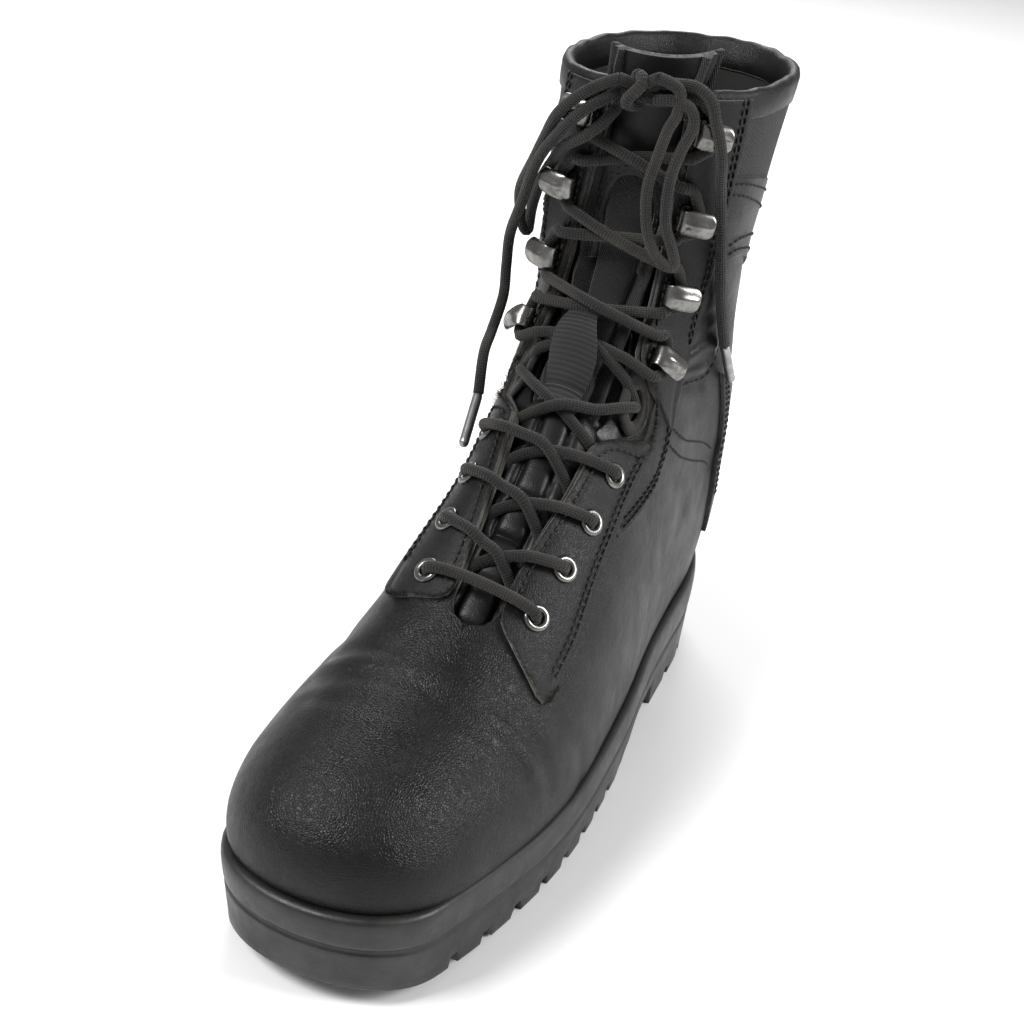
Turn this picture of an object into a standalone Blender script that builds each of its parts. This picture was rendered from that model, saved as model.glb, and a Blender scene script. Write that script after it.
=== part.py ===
"""A left jungle boot standing empty on its sole: metres, +Z up, toe along -Y, outer side along +X."""
import math

import bmesh
import bpy
import numpy as np
from mathutils import Matrix, Vector

# Main sizes of the boot
UPPER_LENGTH = 0.290
HEEL_BACK = 0.038
BALL_WIDTH = 0.104
HEEL_WIDTH = 0.078
ANKLE_WIDTH = 0.081
COLLAR_WIDTH = 0.083
COLLAR_DEPTH = 0.107
TOE_HEIGHT = 0.050
INSTEP_HEIGHT = 0.139
COLLAR_HEIGHT = 0.258
HEEL_SEAT = 0.036
BALL_SEAT = 0.027
TOE_SEAT = 0.035

# Leather and clearances
WALL = 0.0022
GAP = 0.00035
OVERLAY = 0.0018
OVERLAY_GAP = 0.0005

# Lace, eyelets and hooks
LACE_RADIUS = 0.0021
EYELET_FROM = 0.136
EYELET_PITCH = 0.0222
EYELET_SPREAD_LOW = 0.0207
EYELET_SPREAD_HIGH = 0.0284
EYELET_RADIUS = 0.0049
EYELET_BORE = 0.0025
EYELET_BARREL = 0.0029
EYELET_HOLE = 0.0033
EYELET_PEG = 0.009
EYELET_HEIGHT = 0.0010
HOOK_FROM = 0.247
HOOK_PITCH = 0.0245
HOOK_SPREAD_LOW = 0.0310
HOOK_SPREAD_HIGH = 0.0215
HOOK_WIDTH = 0.0100
HOOK_PLATE = 0.0011
HOOK_MOUTH = 0.0050
HOOK_REACH = 0.0085
LOOP_ALONG = 0.2335
LOOP_SPREAD = 0.0300
LOOP_DROP = 0.0011
LOOP_THICKNESS = 0.0014
LOOP_HALF_LONG = 0.0105
LOOP_HALF_WIDE = 0.0075
LOOP_HOLE_LONG = 0.0058
LOOP_HOLE_WIDE = 0.0034

# Sole
SOLE_EDGE = 0.0056
RIM_HEIGHT = 0.0042
TOE_SPRING = 0.0110
TOE_SPRING_FROM = -0.178
GROOVE_DEPTH = 0.0052
GROOVE_WIDTH = 0.0048
GROOVE_LENGTH = 0.044
GROOVE_MIDDLE = 0.0285
SOLE_MIDDLE = -0.003
CUTTER_DEEPER = 0.010
HEEL_BREAST = -0.043
FOREFOOT_FROM = -0.098
ARCH_RISE = 0.0125
INSOLE_THICKNESS = 0.0026
INSOLE_CLEARANCE = 0.0020

# Tongue and keeper
TONGUE_THICKNESS = 0.0040
TONGUE_ABOVE = 0.0120
TONGUE_SINK = 0.0069
TONGUE_SWELL = 0.0012
KEEPER_FROM = 0.2200
KEEPER_LENGTH = 0.033
KEEPER_HALF = 0.0100
KEEPER_THICKNESS = 0.0015
KEEPER_RISE = 0.0042

# How finely the upper's surface is worked out, and how finely it is built
FINE_STEPS = 6
FINE_ACROSS = 48
COLUMNS = 10
LAST = 19
CLOSED_FROM = 13
BUILT_ROWS = [k / 2 for k in range(26)] + [12.75] + [k / 2 for k in range(26, 33)] + [17.0, 18.0, 19.0]

# The tables' distances along the ridge are drawn on a ridge of this length, and stretch with the upper
RIDGE_DRAWN = 0.3336

COLUMN_NAMES = (
    "ridge_y", "ridge_z", "base_y", "base_z", "half_lat", "half_med",
    "widest", "top_round", "low_round", "edge_lat", "edge_med", "centre_x",
)


def section_table():
    """One row for each tilted section, from the toe's edge to the collar."""
    half_ball = BALL_WIDTH / 2
    half_heel = HEEL_WIDTH / 2
    half_ankle = ANKLE_WIDTH / 2
    half_collar = COLLAR_WIDTH / 2
    # first line: the ridge's share of length and height, the base's share and height
    # second line: half widths, shape, edges and middle
    t, i, z = TOE_HEIGHT, INSTEP_HEIGHT, COLLAR_HEIGHT
    b, h, a, c = half_ball, half_heel, half_ankle, half_collar
    toe, ball, heel = TOE_SEAT, BALL_SEAT, HEEL_SEAT
    rows = [
        (0.992, toe + 0.02 * t, 0.900, toe - 0.002,
         0.70 * b, 0.72 * b, 0.97, 2.1, 2.0, 0.69 * b, 0.71 * b, -0.008),
        (1.003, toe + 0.26 * t, 0.865, toe - 0.004,
         0.80 * b, 0.82 * b, 0.93, 2.1, 2.0, 0.76 * b, 0.78 * b, -0.0085),
        (0.985, toe + 0.56 * t, 0.825, ball + 0.003,
         0.88 * b, 0.88 * b, 0.88, 2.1, 2.0, 0.82 * b, 0.83 * b, -0.009),
        (0.930, toe + 0.80 * t, 0.780, ball + 0.001,
         0.94 * b, 0.93 * b, 0.84, 2.05, 2.0, 0.87 * b, 0.88 * b, -0.009),
        (0.855, toe + 0.93 * t, 0.730, ball,
         0.985 * b, 0.96 * b, 0.82, 2.05, 2.1, 0.91 * b, 0.90 * b, -0.008),
        (0.770, toe + 1.08 * t, 0.670, ball,
         1.00 * b, 0.96 * b, 0.80, 2.05, 2.1, 0.92 * b, 0.88 * b, -0.006),
        (0.690, ball + 0.53 * i, 0.605, ball + 0.001,
         0.98 * b, 0.90 * b, 0.79, 2.05, 2.1, 0.90 * b, 0.82 * b, -0.004),
        (0.605, ball + 0.66 * i, 0.525, ball + 0.003,
         0.93 * b, 0.81 * b, 0.77, 2.05, 2.1, 0.85 * b, 0.72 * b, -0.002),
        (0.520, ball + 0.79 * i, 0.435, heel - 0.005,
         0.86 * b, 0.74 * b, 0.75, 2.05, 2.1, 0.78 * b, 0.62 * b, 0.0),
        (0.440, ball + 0.91 * i, 0.335, heel - 0.002,
         1.09 * h, 0.96 * h, 0.72, 2.05, 2.1, 0.95 * h, 0.82 * h, 0.0),
        (0.380, ball + 1.01 * i, 0.230, heel,
         1.05 * h, 0.96 * h, 0.68, 2.1, 2.1, 0.91 * h, 0.85 * h, 0.0),
        (0.342, ball + 1.09 * i, 0.125, heel + 0.001,
         1.03 * h, 0.98 * h, 0.66, 2.15, 2.1, 0.87 * h, 0.85 * h, 0.0),
        (0.322, 0.722 * z, 0.040, heel + 0.002,
         1.02 * h, 1.00 * h, 0.64, 2.15, 2.0, 0.64 * h, 0.64 * h, 0.0003),
        (0.311, 0.756 * z, 0.000, heel + 0.006,
         1.02 * h, 1.01 * h, 0.62, 2.2, 2.0, 0.0, 0.0, 0.0006),
        (0.305, 0.792 * z, -0.008, heel + 0.12 * z,
         0.98 * a, 0.97 * a, 0.58, 2.2, 2.0, 0.0, 0.0, 0.001),
        (0.303, 0.831 * z, 0.016, heel + 0.25 * z,
         0.99 * a, 0.96 * a, 0.54, 2.2, 2.0, 0.0, 0.0, 0.0016),
        (0.303, 0.872 * z, 0.036, heel + 0.38 * z,
         0.97 * a, 0.95 * a, 0.51, 2.2, 2.05, 0.0, 0.0, 0.0023),
        (0.303, 0.915 * z, 0.026, heel + 0.53 * z,
         0.94 * c, 0.92 * c, 0.50, 2.2, 2.1, 0.0, 0.0, 0.0031),
        (0.303, 0.958 * z, -0.010, heel + 0.68 * z,
         0.98 * c, 0.97 * c, 0.50, 2.2, 2.1, 0.0, 0.0, 0.004),
    ]
    table = [(HEEL_BACK - r[0] * UPPER_LENGTH, r[1], HEEL_BACK - r[2] * UPPER_LENGTH) + r[3:] for r in rows]
    front = HEEL_BACK - 0.303 * UPPER_LENGTH
    table.append((front, z, front + COLLAR_DEPTH, 0.985 * z, c, c, 0.50, 2.2, 2.1, 0.0, 0.0, 0.005))
    return np.array(table)


def blend(table, at):
    """Smooth value between the rows of a table, at a fractional row."""
    at = min(max(at, 0.0), len(table) - 1.000001)
    i = int(at)
    f = at - i
    p0 = table[i - 1] if i > 0 else 2 * table[0] - table[1]
    p1 = table[i]
    p2 = table[i + 1]
    p3 = table[i + 2] if i + 2 < len(table) else 2 * table[-1] - table[-2]
    bend = 2 * p0 - 5 * p1 + 4 * p2 - p3
    return 0.5 * (2 * p1 + (p2 - p0) * f + bend * f**2 + (3 * p1 - p0 - 3 * p2 + p3) * f**3)


def half_section(row, half, edge):
    """Half of one section from ridge to lower edge: out from the middle, and share of the way down."""
    turn = np.linspace(0, math.pi / 2, 61)
    wide = row[half]
    inner = row[edge]
    low = row["widest"]
    p = 2 / row["top_round"]
    q = 2 / row["low_round"]
    out = [wide * np.sin(turn) ** p, (inner + (wide - inner) * np.cos(turn) ** q)[1:]]
    down = [low * (1 - np.cos(turn) ** p), (low + (1 - low) * np.sin(turn) ** q)[1:]]
    return np.concatenate(out), np.concatenate(down)


class Surface:
    """The upper's outer surface: points by section number and distance round from the ridge."""

    def __init__(self):
        table = section_table()
        edges = [COLUMN_NAMES.index("edge_lat"), COLUMN_NAMES.index("edge_med")]
        table[:, edges] **= 2
        self.at = np.linspace(0, LAST, LAST * FINE_STEPS + 1)
        self.grid = np.zeros((2, len(self.at), FINE_ACROSS + 1, 3))
        self.girth = np.zeros((2, len(self.at)))
        for k, at in enumerate(self.at):
            blended = blend(table, at)
            blended[edges] = np.sqrt(np.maximum(blended[edges], 0.0))
            row = dict(zip(COLUMN_NAMES, blended))
            for s, (half, edge) in enumerate((("half_lat", "edge_lat"), ("half_med", "edge_med"))):
                out, down = half_section(row, half, edge)
                x = row["centre_x"] + (out if s == 0 else -out)
                y = row["ridge_y"] + down * (row["base_y"] - row["ridge_y"])
                z = row["ridge_z"] + down * (row["base_z"] - row["ridge_z"])
                points = np.stack([x, y, z], 1)
                steps = np.linalg.norm(np.diff(points, axis=0), axis=1)
                run = np.concatenate([[0], np.cumsum(steps)])
                self.girth[s, k] = run[-1]
                even = np.linspace(0, run[-1], FINE_ACROSS + 1)
                self.grid[s, k] = np.stack([np.interp(even, run, points[:, c]) for c in range(3)], 1)
        self.normal = self.work_out_normals()
        steps = np.linalg.norm(np.diff(self.grid[0][:, 0], axis=0), axis=1)
        self.run = np.concatenate([[0], np.cumsum(steps)])
        self.stretch = self.run[-1] / RIDGE_DRAWN

    def work_out_normals(self):
        out = np.zeros_like(self.grid)
        for s in (0, 1):
            along = np.gradient(self.grid[s], axis=0)
            round_it = np.gradient(self.grid[s], axis=1)
            out[s] = np.cross(along, round_it) * (-1 if s == 0 else 1)
        out /= np.maximum(np.linalg.norm(out, axis=3, keepdims=True), 1e-12)
        shared = [(slice(None), 0), (slice(CLOSED_FROM * FINE_STEPS, None), FINE_ACROSS)]
        for rows, column in shared:
            mean = out[0][rows, column] + out[1][rows, column]
            mean /= np.linalg.norm(mean, axis=1, keepdims=True)
            out[0][rows, column] = mean
            out[1][rows, column] = mean
        return out

    def section(self, along):
        """Section number at a distance along the ridge from the toe's edge; it runs on above the collar."""
        real = along * self.stretch
        if real > self.run[-1]:
            return LAST + (real - self.run[-1]) / (self.run[-1] - self.run[-1 - FINE_STEPS])
        return float(np.interp(real, self.run, self.at))

    def along(self, at):
        """Distance along the ridge, as the tables are drawn, of a section number."""
        real = float(np.interp(at, self.at, self.run))
        real += max(at - LAST, 0.0) * (self.run[-1] - self.run[-1 - FINE_STEPS])
        return real / self.stretch

    def look_up(self, at, share, s):
        k = min(max(at * FINE_STEPS, 0), len(self.at) - 1.000001)
        c = min(max(share * FINE_ACROSS, 0), FINE_ACROSS - 1e-9)
        i, j = int(k), int(c)
        f, g = k - i, c - j
        weights = (
            (i, j, (1 - f) * (1 - g)), (i + 1, j, f * (1 - g)),
            (i, j + 1, (1 - f) * g), (i + 1, j + 1, f * g),
        )
        spot = sum(self.grid[s, a, b] * w for a, b, w in weights)
        facing = sum(self.normal[s, a, b] * w for a, b, w in weights)
        return spot, facing / np.linalg.norm(facing)

    def total(self, at, s):
        return float(np.interp(at, self.at, self.girth[s]))

    def share_point(self, at, share, s, up=0.0):
        """A point by share of the way round one half (s 0 outer side, 1 inner side)."""
        spot, facing = self.look_up(min(at, LAST), share, s)
        if at > LAST:
            below, _ = self.look_up(LAST - 0.5, share, s)
            spot = spot + (spot - below) * 2 * (at - LAST)
        return spot + up * facing

    def point(self, at, across, up=0.0):
        """A point by distance across from the ridge, plus towards the outer side."""
        s = 0 if across >= 0 else 1
        return self.share_point(at, abs(across) / self.total(min(at, LAST), s), s, up)

    def back_point(self, at, across, up=0.0):
        """A point by distance across from the middle of the back, plus towards the outer side."""
        s = 0 if across >= 0 else 1
        return self.share_point(at, 1 - abs(across) / self.total(min(at, LAST), s), s, up)


def clear_scene():
    for item in list(bpy.data.objects):
        bpy.data.objects.remove(item, do_unlink=True)


def material(name, color, roughness, metallic=0.0):
    made = bpy.data.materials.new(name)
    made.use_nodes = True
    shader = made.node_tree.nodes["Principled BSDF"]
    shader.inputs["Base Color"].default_value = (*color, 1.0)
    shader.inputs["Roughness"].default_value = roughness
    shader.inputs["Metallic"].default_value = metallic
    return made


def add_object(name, data, look):
    made = bpy.data.objects.new(name, data)
    bpy.context.scene.collection.objects.link(made)
    if look:
        data.materials.append(look)
    return made


def mesh_of(name, points, faces):
    data = bpy.data.meshes.new(name)
    data.from_pydata([tuple(map(float, p)) for p in points], [], [tuple(f) for f in faces])
    body = bmesh.new()
    body.from_mesh(data)
    bmesh.ops.remove_doubles(body, verts=body.verts, dist=1e-6)
    bmesh.ops.recalc_face_normals(body, faces=body.faces)
    body.to_mesh(data)
    body.free()
    return data


def as_cutter(item):
    if "cutters" not in bpy.data.collections:
        bpy.context.scene.collection.children.link(bpy.data.collections.new("cutters"))
    bpy.context.scene.collection.objects.unlink(item)
    bpy.data.collections["cutters"].objects.link(item)
    item.hide_render = True
    item.display_type = "WIRE"
    return item


def cut(item, cutter, operation="DIFFERENCE"):
    made = item.modifiers.new(operation.lower() + "_" + cutter.name, "BOOLEAN")
    made.object = cutter
    made.operation = operation
    made.solver = "EXACT"


def grid_faces(rows, columns):
    return [
        (r * columns + c, r * columns + c + 1, (r + 1) * columns + c + 1, (r + 1) * columns + c)
        for r in range(rows - 1)
        for c in range(columns - 1)
    ]


def closed_slab(name, top, bottom, look):
    """A closed solid between two grids of points of the same size."""
    rows, columns = len(top), len(top[0])
    points = [p for row in top for p in row] + [p for row in bottom for p in row]
    under = rows * columns
    faces = grid_faces(rows, columns)
    faces += [tuple(under + i for i in reversed(f)) for f in grid_faces(rows, columns)]
    rim = [(0, c) for c in range(columns)] + [(r, columns - 1) for r in range(1, rows)]
    rim += [(rows - 1, c) for c in range(columns - 2, -1, -1)] + [(r, 0) for r in range(rows - 2, 0, -1)]
    ring = [r * columns + c for r, c in rim]
    for a, b in zip(ring, ring[1:] + ring[:1]):
        faces.append((b, a, under + a, under + b))
    return add_object(name, mesh_of(name, points, faces), look)


def smooth_table(table, along, column):
    return float(np.interp(along, [row[0] for row in table], [row[column] for row in table]))


def section_rows(surface, low, high, table=()):
    """The upper's own half sections between two distances, with the ends and a table's rows."""
    ends = [surface.section(low), surface.section(high)]
    inner = BUILT_ROWS + [surface.section(row[0]) for row in table]
    rows = sorted(ends + [at for at in inner if ends[0] < at < ends[1]])
    kept = [rows[0]]
    for at in rows[1:]:
        if at - kept[-1] > 0.12:
            kept.append(at)
    kept[-1] = ends[1]
    return kept


# Where the throat's middle line lies across from the ridge, by distance along the ridge
THROAT_MIDDLE = (
    (0.110, 0.0090), (0.136, 0.0080), (0.200, 0.0050), (0.247, 0.0030), (0.320, 0.0060), (0.360, 0.0065),
)

# Half width of the throat with the ankle notches, by distance along the ridge
THROAT_HALF = (
    (0.1215, 0.0040), (0.1245, 0.0072), (0.1290, 0.0086),
    (0.1400, 0.0088), (0.1600, 0.0104), (0.1800, 0.0132),
    (0.2000, 0.0158), (0.2070, 0.0170), (0.2150, 0.0245),
    (0.2230, 0.0335), (0.2290, 0.0370), (0.2350, 0.0375),
    (0.2400, 0.0350), (0.2430, 0.0290), (0.2460, 0.0225),
    (0.2700, 0.0195), (0.2950, 0.0165), (0.3200, 0.0140),
    (0.3800, 0.0135),
)

# Facings: distance along the ridge, inner and outer edge from the throat's middle
LOWER_FACING = (
    (0.1130, 0.0340, 0.0372), (0.1170, 0.0262, 0.0382),
    (0.1220, 0.0178, 0.0390), (0.1280, 0.0104, 0.0396),
    (0.1400, 0.0092, 0.0402), (0.1600, 0.0108, 0.0410),
    (0.1800, 0.0136, 0.0420), (0.2000, 0.0162, 0.0430),
    (0.2060, 0.0172, 0.0436), (0.2140, 0.0250, 0.0442),
    (0.2220, 0.0345, 0.0446), (0.2275, 0.0405, 0.0450),
)
SHAFT_FACING = (
    (0.2420, 0.0345, 0.0470), (0.2450, 0.0262, 0.0510),
    (0.2500, 0.0228, 0.0530), (0.2600, 0.0212, 0.0524),
    (0.2750, 0.0194, 0.0505), (0.2900, 0.0177, 0.0460),
    (0.3050, 0.0161, 0.0412), (0.3200, 0.0146, 0.0375),
    (0.3280, 0.0142, 0.0365),
)


def middle(along):
    return smooth_table(THROAT_MIDDLE, along, 1)


def overlay(surface, name, table, side, look, columns=5):
    """A flat strip that lies over the upper, between two edges given from the throat's middle."""
    rows = section_rows(surface, table[0][0], table[-1][0], table)
    top, bottom = [], []
    for at in rows:
        along = surface.along(at)
        near = smooth_table(table, along, 1)
        far = smooth_table(table, along, 2)
        spots = [middle(along) + side * d for d in np.linspace(near, far, columns)]
        top.append([surface.point(at, d, OVERLAY_GAP + OVERLAY) for d in spots])
        bottom.append([surface.point(at, d, OVERLAY_GAP) for d in spots])
    return closed_slab(name, top, bottom, look)


def local_frame(surface, along, across):
    """Centre, outward normal, direction up the ridge and direction away from the throat at a spot."""
    at = surface.section(along)
    centre = surface.point(at, across)
    up_spot = surface.point(at + 0.05, across)
    normal = surface.point(at, across, 0.01) - centre
    normal /= np.linalg.norm(normal)
    upward = up_spot - centre
    upward -= normal * np.dot(upward, normal)
    upward /= np.linalg.norm(upward)
    outward = np.cross(upward, normal)
    if outward[0] * (1 if across >= middle(along) else -1) < 0:
        outward = -outward
    return centre, normal, upward, outward


def skin(surface, rows, up=0.0):
    """The upper's surface as triangles: points, faces and a look-up by row, column and side."""
    points, faces = [], []
    index = {}

    def corner(k, c, s):
        if c == 0 or (c == COLUMNS and rows[k] >= CLOSED_FROM):
            s = 0
        key = (k, c, s)
        if key not in index:
            index[key] = len(points)
            points.append(surface.share_point(rows[k], c / COLUMNS, s, up))
        return index[key]

    for s in (0, 1):
        for k in range(len(rows) - 1):
            for c in range(COLUMNS):
                a, b = corner(k, c, s), corner(k, c + 1, s)
                d, e = corner(k + 1, c + 1, s), corner(k + 1, c, s)
                for face in ((a, b, d), (a, d, e)):
                    faces.append(face if s == 1 else face[::-1])
    return points, faces, corner


def build_upper(surface, look):
    points, faces, _ = skin(surface, BUILT_ROWS)
    data = bpy.data.meshes.new("upper")
    data.from_pydata([tuple(map(float, p)) for p in points], [], faces)
    data.validate()
    upper = add_object("upper", data, look)
    if not faces_point_out(data, surface):
        data.flip_normals()
    wall = upper.modifiers.new("wall", "SOLIDIFY")
    wall.thickness = WALL
    wall.offset = -1
    wall.use_even_offset = True
    return upper


def faces_point_out(data, surface):
    inside = Vector(surface.share_point(16, 0.5, 0) + surface.share_point(16, 0.5, 1)) / 2
    nearest = min(data.polygons, key=lambda f: (f.center - Vector(surface.share_point(16, 0.5, 0))).length)
    return nearest.normal.dot(nearest.center - inside) > 0


def throat_cutter(surface):
    rows = section_rows(surface, THROAT_HALF[0][0], RIDGE_DRAWN + 0.030, THROAT_HALF)
    top, bottom = [], []
    for at in rows:
        along = surface.along(at)
        half = smooth_table(THROAT_HALF, along, 1)
        spots = [middle(along) + half * t for t in (-1, -0.6, -0.2, 0.2, 0.6, 1)]
        top.append([surface.point(at, d, 0.005) for d in spots])
        bottom.append([surface.point(at, d, -0.008) for d in spots])
    return as_cutter(closed_slab("throat_cutter", top, bottom, None))


def feather_ladder(surface, columns=COLUMNS):
    """Pairs of points along the upper's lower edge, from the toe's tip to the middle of the heel."""
    pairs = []
    for c in range(0, columns):
        share = c / columns
        pairs.append((surface.share_point(0, share, 0), surface.share_point(0, share, 1)))
    for at in BUILT_ROWS:
        if at < CLOSED_FROM and (at == int(at) or at > 11):
            pairs.append((surface.share_point(at, 1, 0), surface.share_point(at, 1, 1)))
    heel = surface.share_point(CLOSED_FROM, 1, 0)
    pairs.append((heel, heel))
    return pairs


def ring_of(pairs):
    """The lower edge as one closed loop, outer side first from the toe's tip."""
    return [p[0] for p in pairs] + [p[1] for p in pairs[-2:0:-1]]


def outward_of(ring):
    """Flat outward directions at each point of a loop that runs with the sole's middle on one side."""
    flat = np.array([[p[0], p[1], 0.0] for p in ring])
    along = np.roll(flat, -1, axis=0) - np.roll(flat, 1, axis=0)
    out = np.stack([along[:, 1], -along[:, 0], np.zeros(len(flat))], 1)
    out /= np.linalg.norm(out, axis=1, keepdims=True)
    middle_point = flat.mean(axis=0)
    if np.sum((flat - middle_point) * out) < 0:
        out = -out
    smooth = (np.roll(out, 1, axis=0) + 2 * out + np.roll(out, -1, axis=0)) / 4
    return smooth / np.linalg.norm(smooth, axis=1, keepdims=True)


def build_insole(surface, look):
    pairs = feather_ladder(surface)
    ring = ring_of(pairs)
    out = outward_of(ring)
    moved = [np.array(p) - (WALL + INSOLE_CLEARANCE) * n for p, n in zip(ring, out)]
    count = len(pairs)
    left = moved[:count]
    right = [moved[0]] + moved[:count - 1:-1] + [moved[count - 1]]
    top = [[a + [0, 0, INSOLE_THICKNESS], b + [0, 0, INSOLE_THICKNESS]] for a, b in zip(left, right)]
    bottom = [[a + [0, 0, 0.0002], b + [0, 0, 0.0002]] for a, b in zip(left, right)]
    return closed_slab("insole", top, bottom, look)


def ground(y):
    """Height of the tread before the arch is cut: flat under heel and ball, rising to the toe."""
    toe_end = HEEL_BACK - UPPER_LENGTH - SOLE_EDGE
    if y >= TOE_SPRING_FROM:
        return 0.0
    share = (TOE_SPRING_FROM - y) / (TOE_SPRING_FROM - toe_end)
    return TOE_SPRING * share ** 1.8


def build_outsole(surface, look):
    ring = ring_of(feather_ladder(surface))
    out = outward_of(ring)
    # share of the way up from the tread to the rim, and share of the full edge width
    layers = (
        (0.00, 0.62), (0.34, 0.80), (0.50, 0.86), (0.53, 0.74),
        (0.58, 0.74), (0.61, 0.92), (0.86, 1.04), (1.00, 0.96),
    )
    levels = []
    for share, edge in layers:
        level = []
        for p, n in zip(ring, out):
            spot = np.array(p) + n * SOLE_EDGE * edge
            bottom = ground(spot[1])
            heel_cup = 0.004 * max(0.0, min(1.0, (spot[1] - 0.005) / 0.030))
            top = p[2] + RIM_HEIGHT + heel_cup
            spot[2] = bottom + (top - bottom) * share
            level.append(spot)
        levels.append(level)
    count = len(ring)
    points = [p for level in levels for p in level]
    faces = []
    for k in range(len(levels) - 1):
        for j in range(count):
            nxt = (j + 1) % count
            faces.append((k * count + j, k * count + nxt, (k + 1) * count + nxt, (k + 1) * count + j))
    last = (len(levels) - 1) * count
    for base in (0, last):
        half = count // 2
        for j in range(half):
            a, b = j, j + 1
            c, d = (count - j - 1) % count, (count - j) % count
            corners = [base + v for v in dict.fromkeys((a, b, c, d))]
            if len(corners) > 2:
                faces.append(tuple(corners))
    outsole = add_object("outsole", mesh_of("outsole", points, faces), look)
    cut(outsole, form_cutter(surface))
    cut(outsole, arch_cutter())
    cut(outsole, groove_cutter())
    return outsole


def form_cutter(surface):
    """The upper's form with clearance, closed underneath and at the ankle, for cutting the sole's bed."""
    rows = [at for at in BUILT_ROWS if at <= 15]
    points, faces, corner = skin(surface, rows, GAP)
    for c in range(COLUMNS):
        faces.append((corner(0, c, 0), corner(0, c + 1, 0), corner(0, c + 1, 1), corner(0, c, 1)))
    for k in range(rows.index(CLOSED_FROM)):
        outer_side = (corner(k, COLUMNS, 0), corner(k + 1, COLUMNS, 0))
        faces.append(outer_side + (corner(k + 1, COLUMNS, 1), corner(k, COLUMNS, 1)))
    top = len(rows) - 1
    for c in range(COLUMNS):
        faces.append((corner(top, c, 0), corner(top, c + 1, 0), corner(top, c + 1, 1), corner(top, c, 1)))
    faces = [tuple(dict.fromkeys(f)) for f in faces]
    faces = [f for f in faces if len(f) > 2]
    return as_cutter(add_object("form_cutter", mesh_of("form_cutter", points, faces), None))


def prism(name, outline, half_width):
    """A closed prism across X from an outline in the YZ plane."""
    count = len(outline)
    points = [(-half_width, y, z) for y, z in outline] + [(half_width, y, z) for y, z in outline]
    faces = [tuple(range(count)), tuple(range(2 * count - 1, count - 1, -1))]
    for k in range(count):
        nxt = (k + 1) % count
        faces.append((k, nxt, count + nxt, count + k))
    return add_object(name, mesh_of(name, points, faces), None)


def arch_cutter():
    """The hollow in front of the heel block."""
    span = HEEL_BREAST - FOREFOOT_FROM
    outline = [
        (HEEL_BREAST + 0.001, -0.01),
        (HEEL_BREAST, 0.0),
        (HEEL_BREAST - 0.0015, ARCH_RISE * 0.85),
        (HEEL_BREAST - 0.0060, ARCH_RISE),
        (HEEL_BREAST - 0.45 * span, ARCH_RISE * 0.86),
        (HEEL_BREAST - 0.75 * span, ARCH_RISE * 0.45),
        (FOREFOOT_FROM, 0.0),
        (FOREFOOT_FROM - 0.004, -0.01),
    ]
    return as_cutter(prism("arch_cutter", outline, 0.08))


# Grooves across the tread: place along the sole, turn in degrees
GROOVES = (
    (0.018, 0), (0.000, 0), (-0.020, 0),
    (-0.112, 12), (-0.126, 12), (-0.140, 12), (-0.155, 10),
    (-0.170, 8), (-0.186, 6), (-0.203, 4), (-0.220, 2),
)


def groove_cutter():
    body = bmesh.new()
    for y, turn in GROOVES:
        depth = GROOVE_DEPTH + ground(y)
        for side in (-1, 1):
            made = bmesh.ops.create_cube(body, size=1.0)
            size = Matrix.Diagonal((GROOVE_LENGTH, GROOVE_WIDTH, depth + CUTTER_DEEPER, 1.0))
            spin = Matrix.Rotation(math.radians(side * turn), 4, "Z")
            place = Matrix.Translation((side * GROOVE_MIDDLE + SOLE_MIDDLE, y, (depth - CUTTER_DEEPER) / 2))
            bmesh.ops.transform(body, matrix=place @ spin @ size, verts=made["verts"])
    data = bpy.data.meshes.new("groove_cutter")
    body.to_mesh(data)
    body.free()
    return as_cutter(add_object("groove_cutter", data, None))


def tongue_drop(along, share):
    """How far the tongue's outer face lies under the upper's outer surface; share runs -1 to 1 across it."""
    start = THROAT_HALF[0][0] - 0.012
    seat = min(max((along - start) / 0.016, 0.0), 1.0)
    seat = seat * seat * (3 - 2 * seat)
    seated = WALL + 0.0004
    swell = TONGUE_SWELL * (1 - share**2) ** 2
    return seated + (TONGUE_SINK - seated) * seat - swell * seat


def build_tongue(surface, look):
    start = THROAT_HALF[0][0] - 0.012
    end = RIDGE_DRAWN + TONGUE_ABOVE
    rows = section_rows(surface, start, end)
    top, bottom = [], []
    shares = (-1, -0.62, -0.22, 0.22, 0.62, 1)
    for k, at in enumerate(rows):
        along = surface.along(at)
        half = tongue_half(along)
        if k == len(rows) - 1:
            half *= 0.86
        spots = [(middle(along) + half * t, t) for t in shares]
        top.append([surface.point(at, d, -tongue_drop(along, t)) for d, t in spots])
        bottom.append([surface.point(at, d, -tongue_drop(along, t) - TONGUE_THICKNESS) for d, t in spots])
    return closed_slab("tongue", top, bottom, look)


# Half width of the tongue by distance along the ridge; it is wider than the throat
TONGUE_HALF = (
    (0.109, 0.017), (0.140, 0.020), (0.200, 0.028), (0.235, 0.0345),
    (0.250, 0.0335), (0.320, 0.0260), (0.400, 0.0235),
)


def tongue_half(along):
    return smooth_table(TONGUE_HALF, along, 1)


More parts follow.
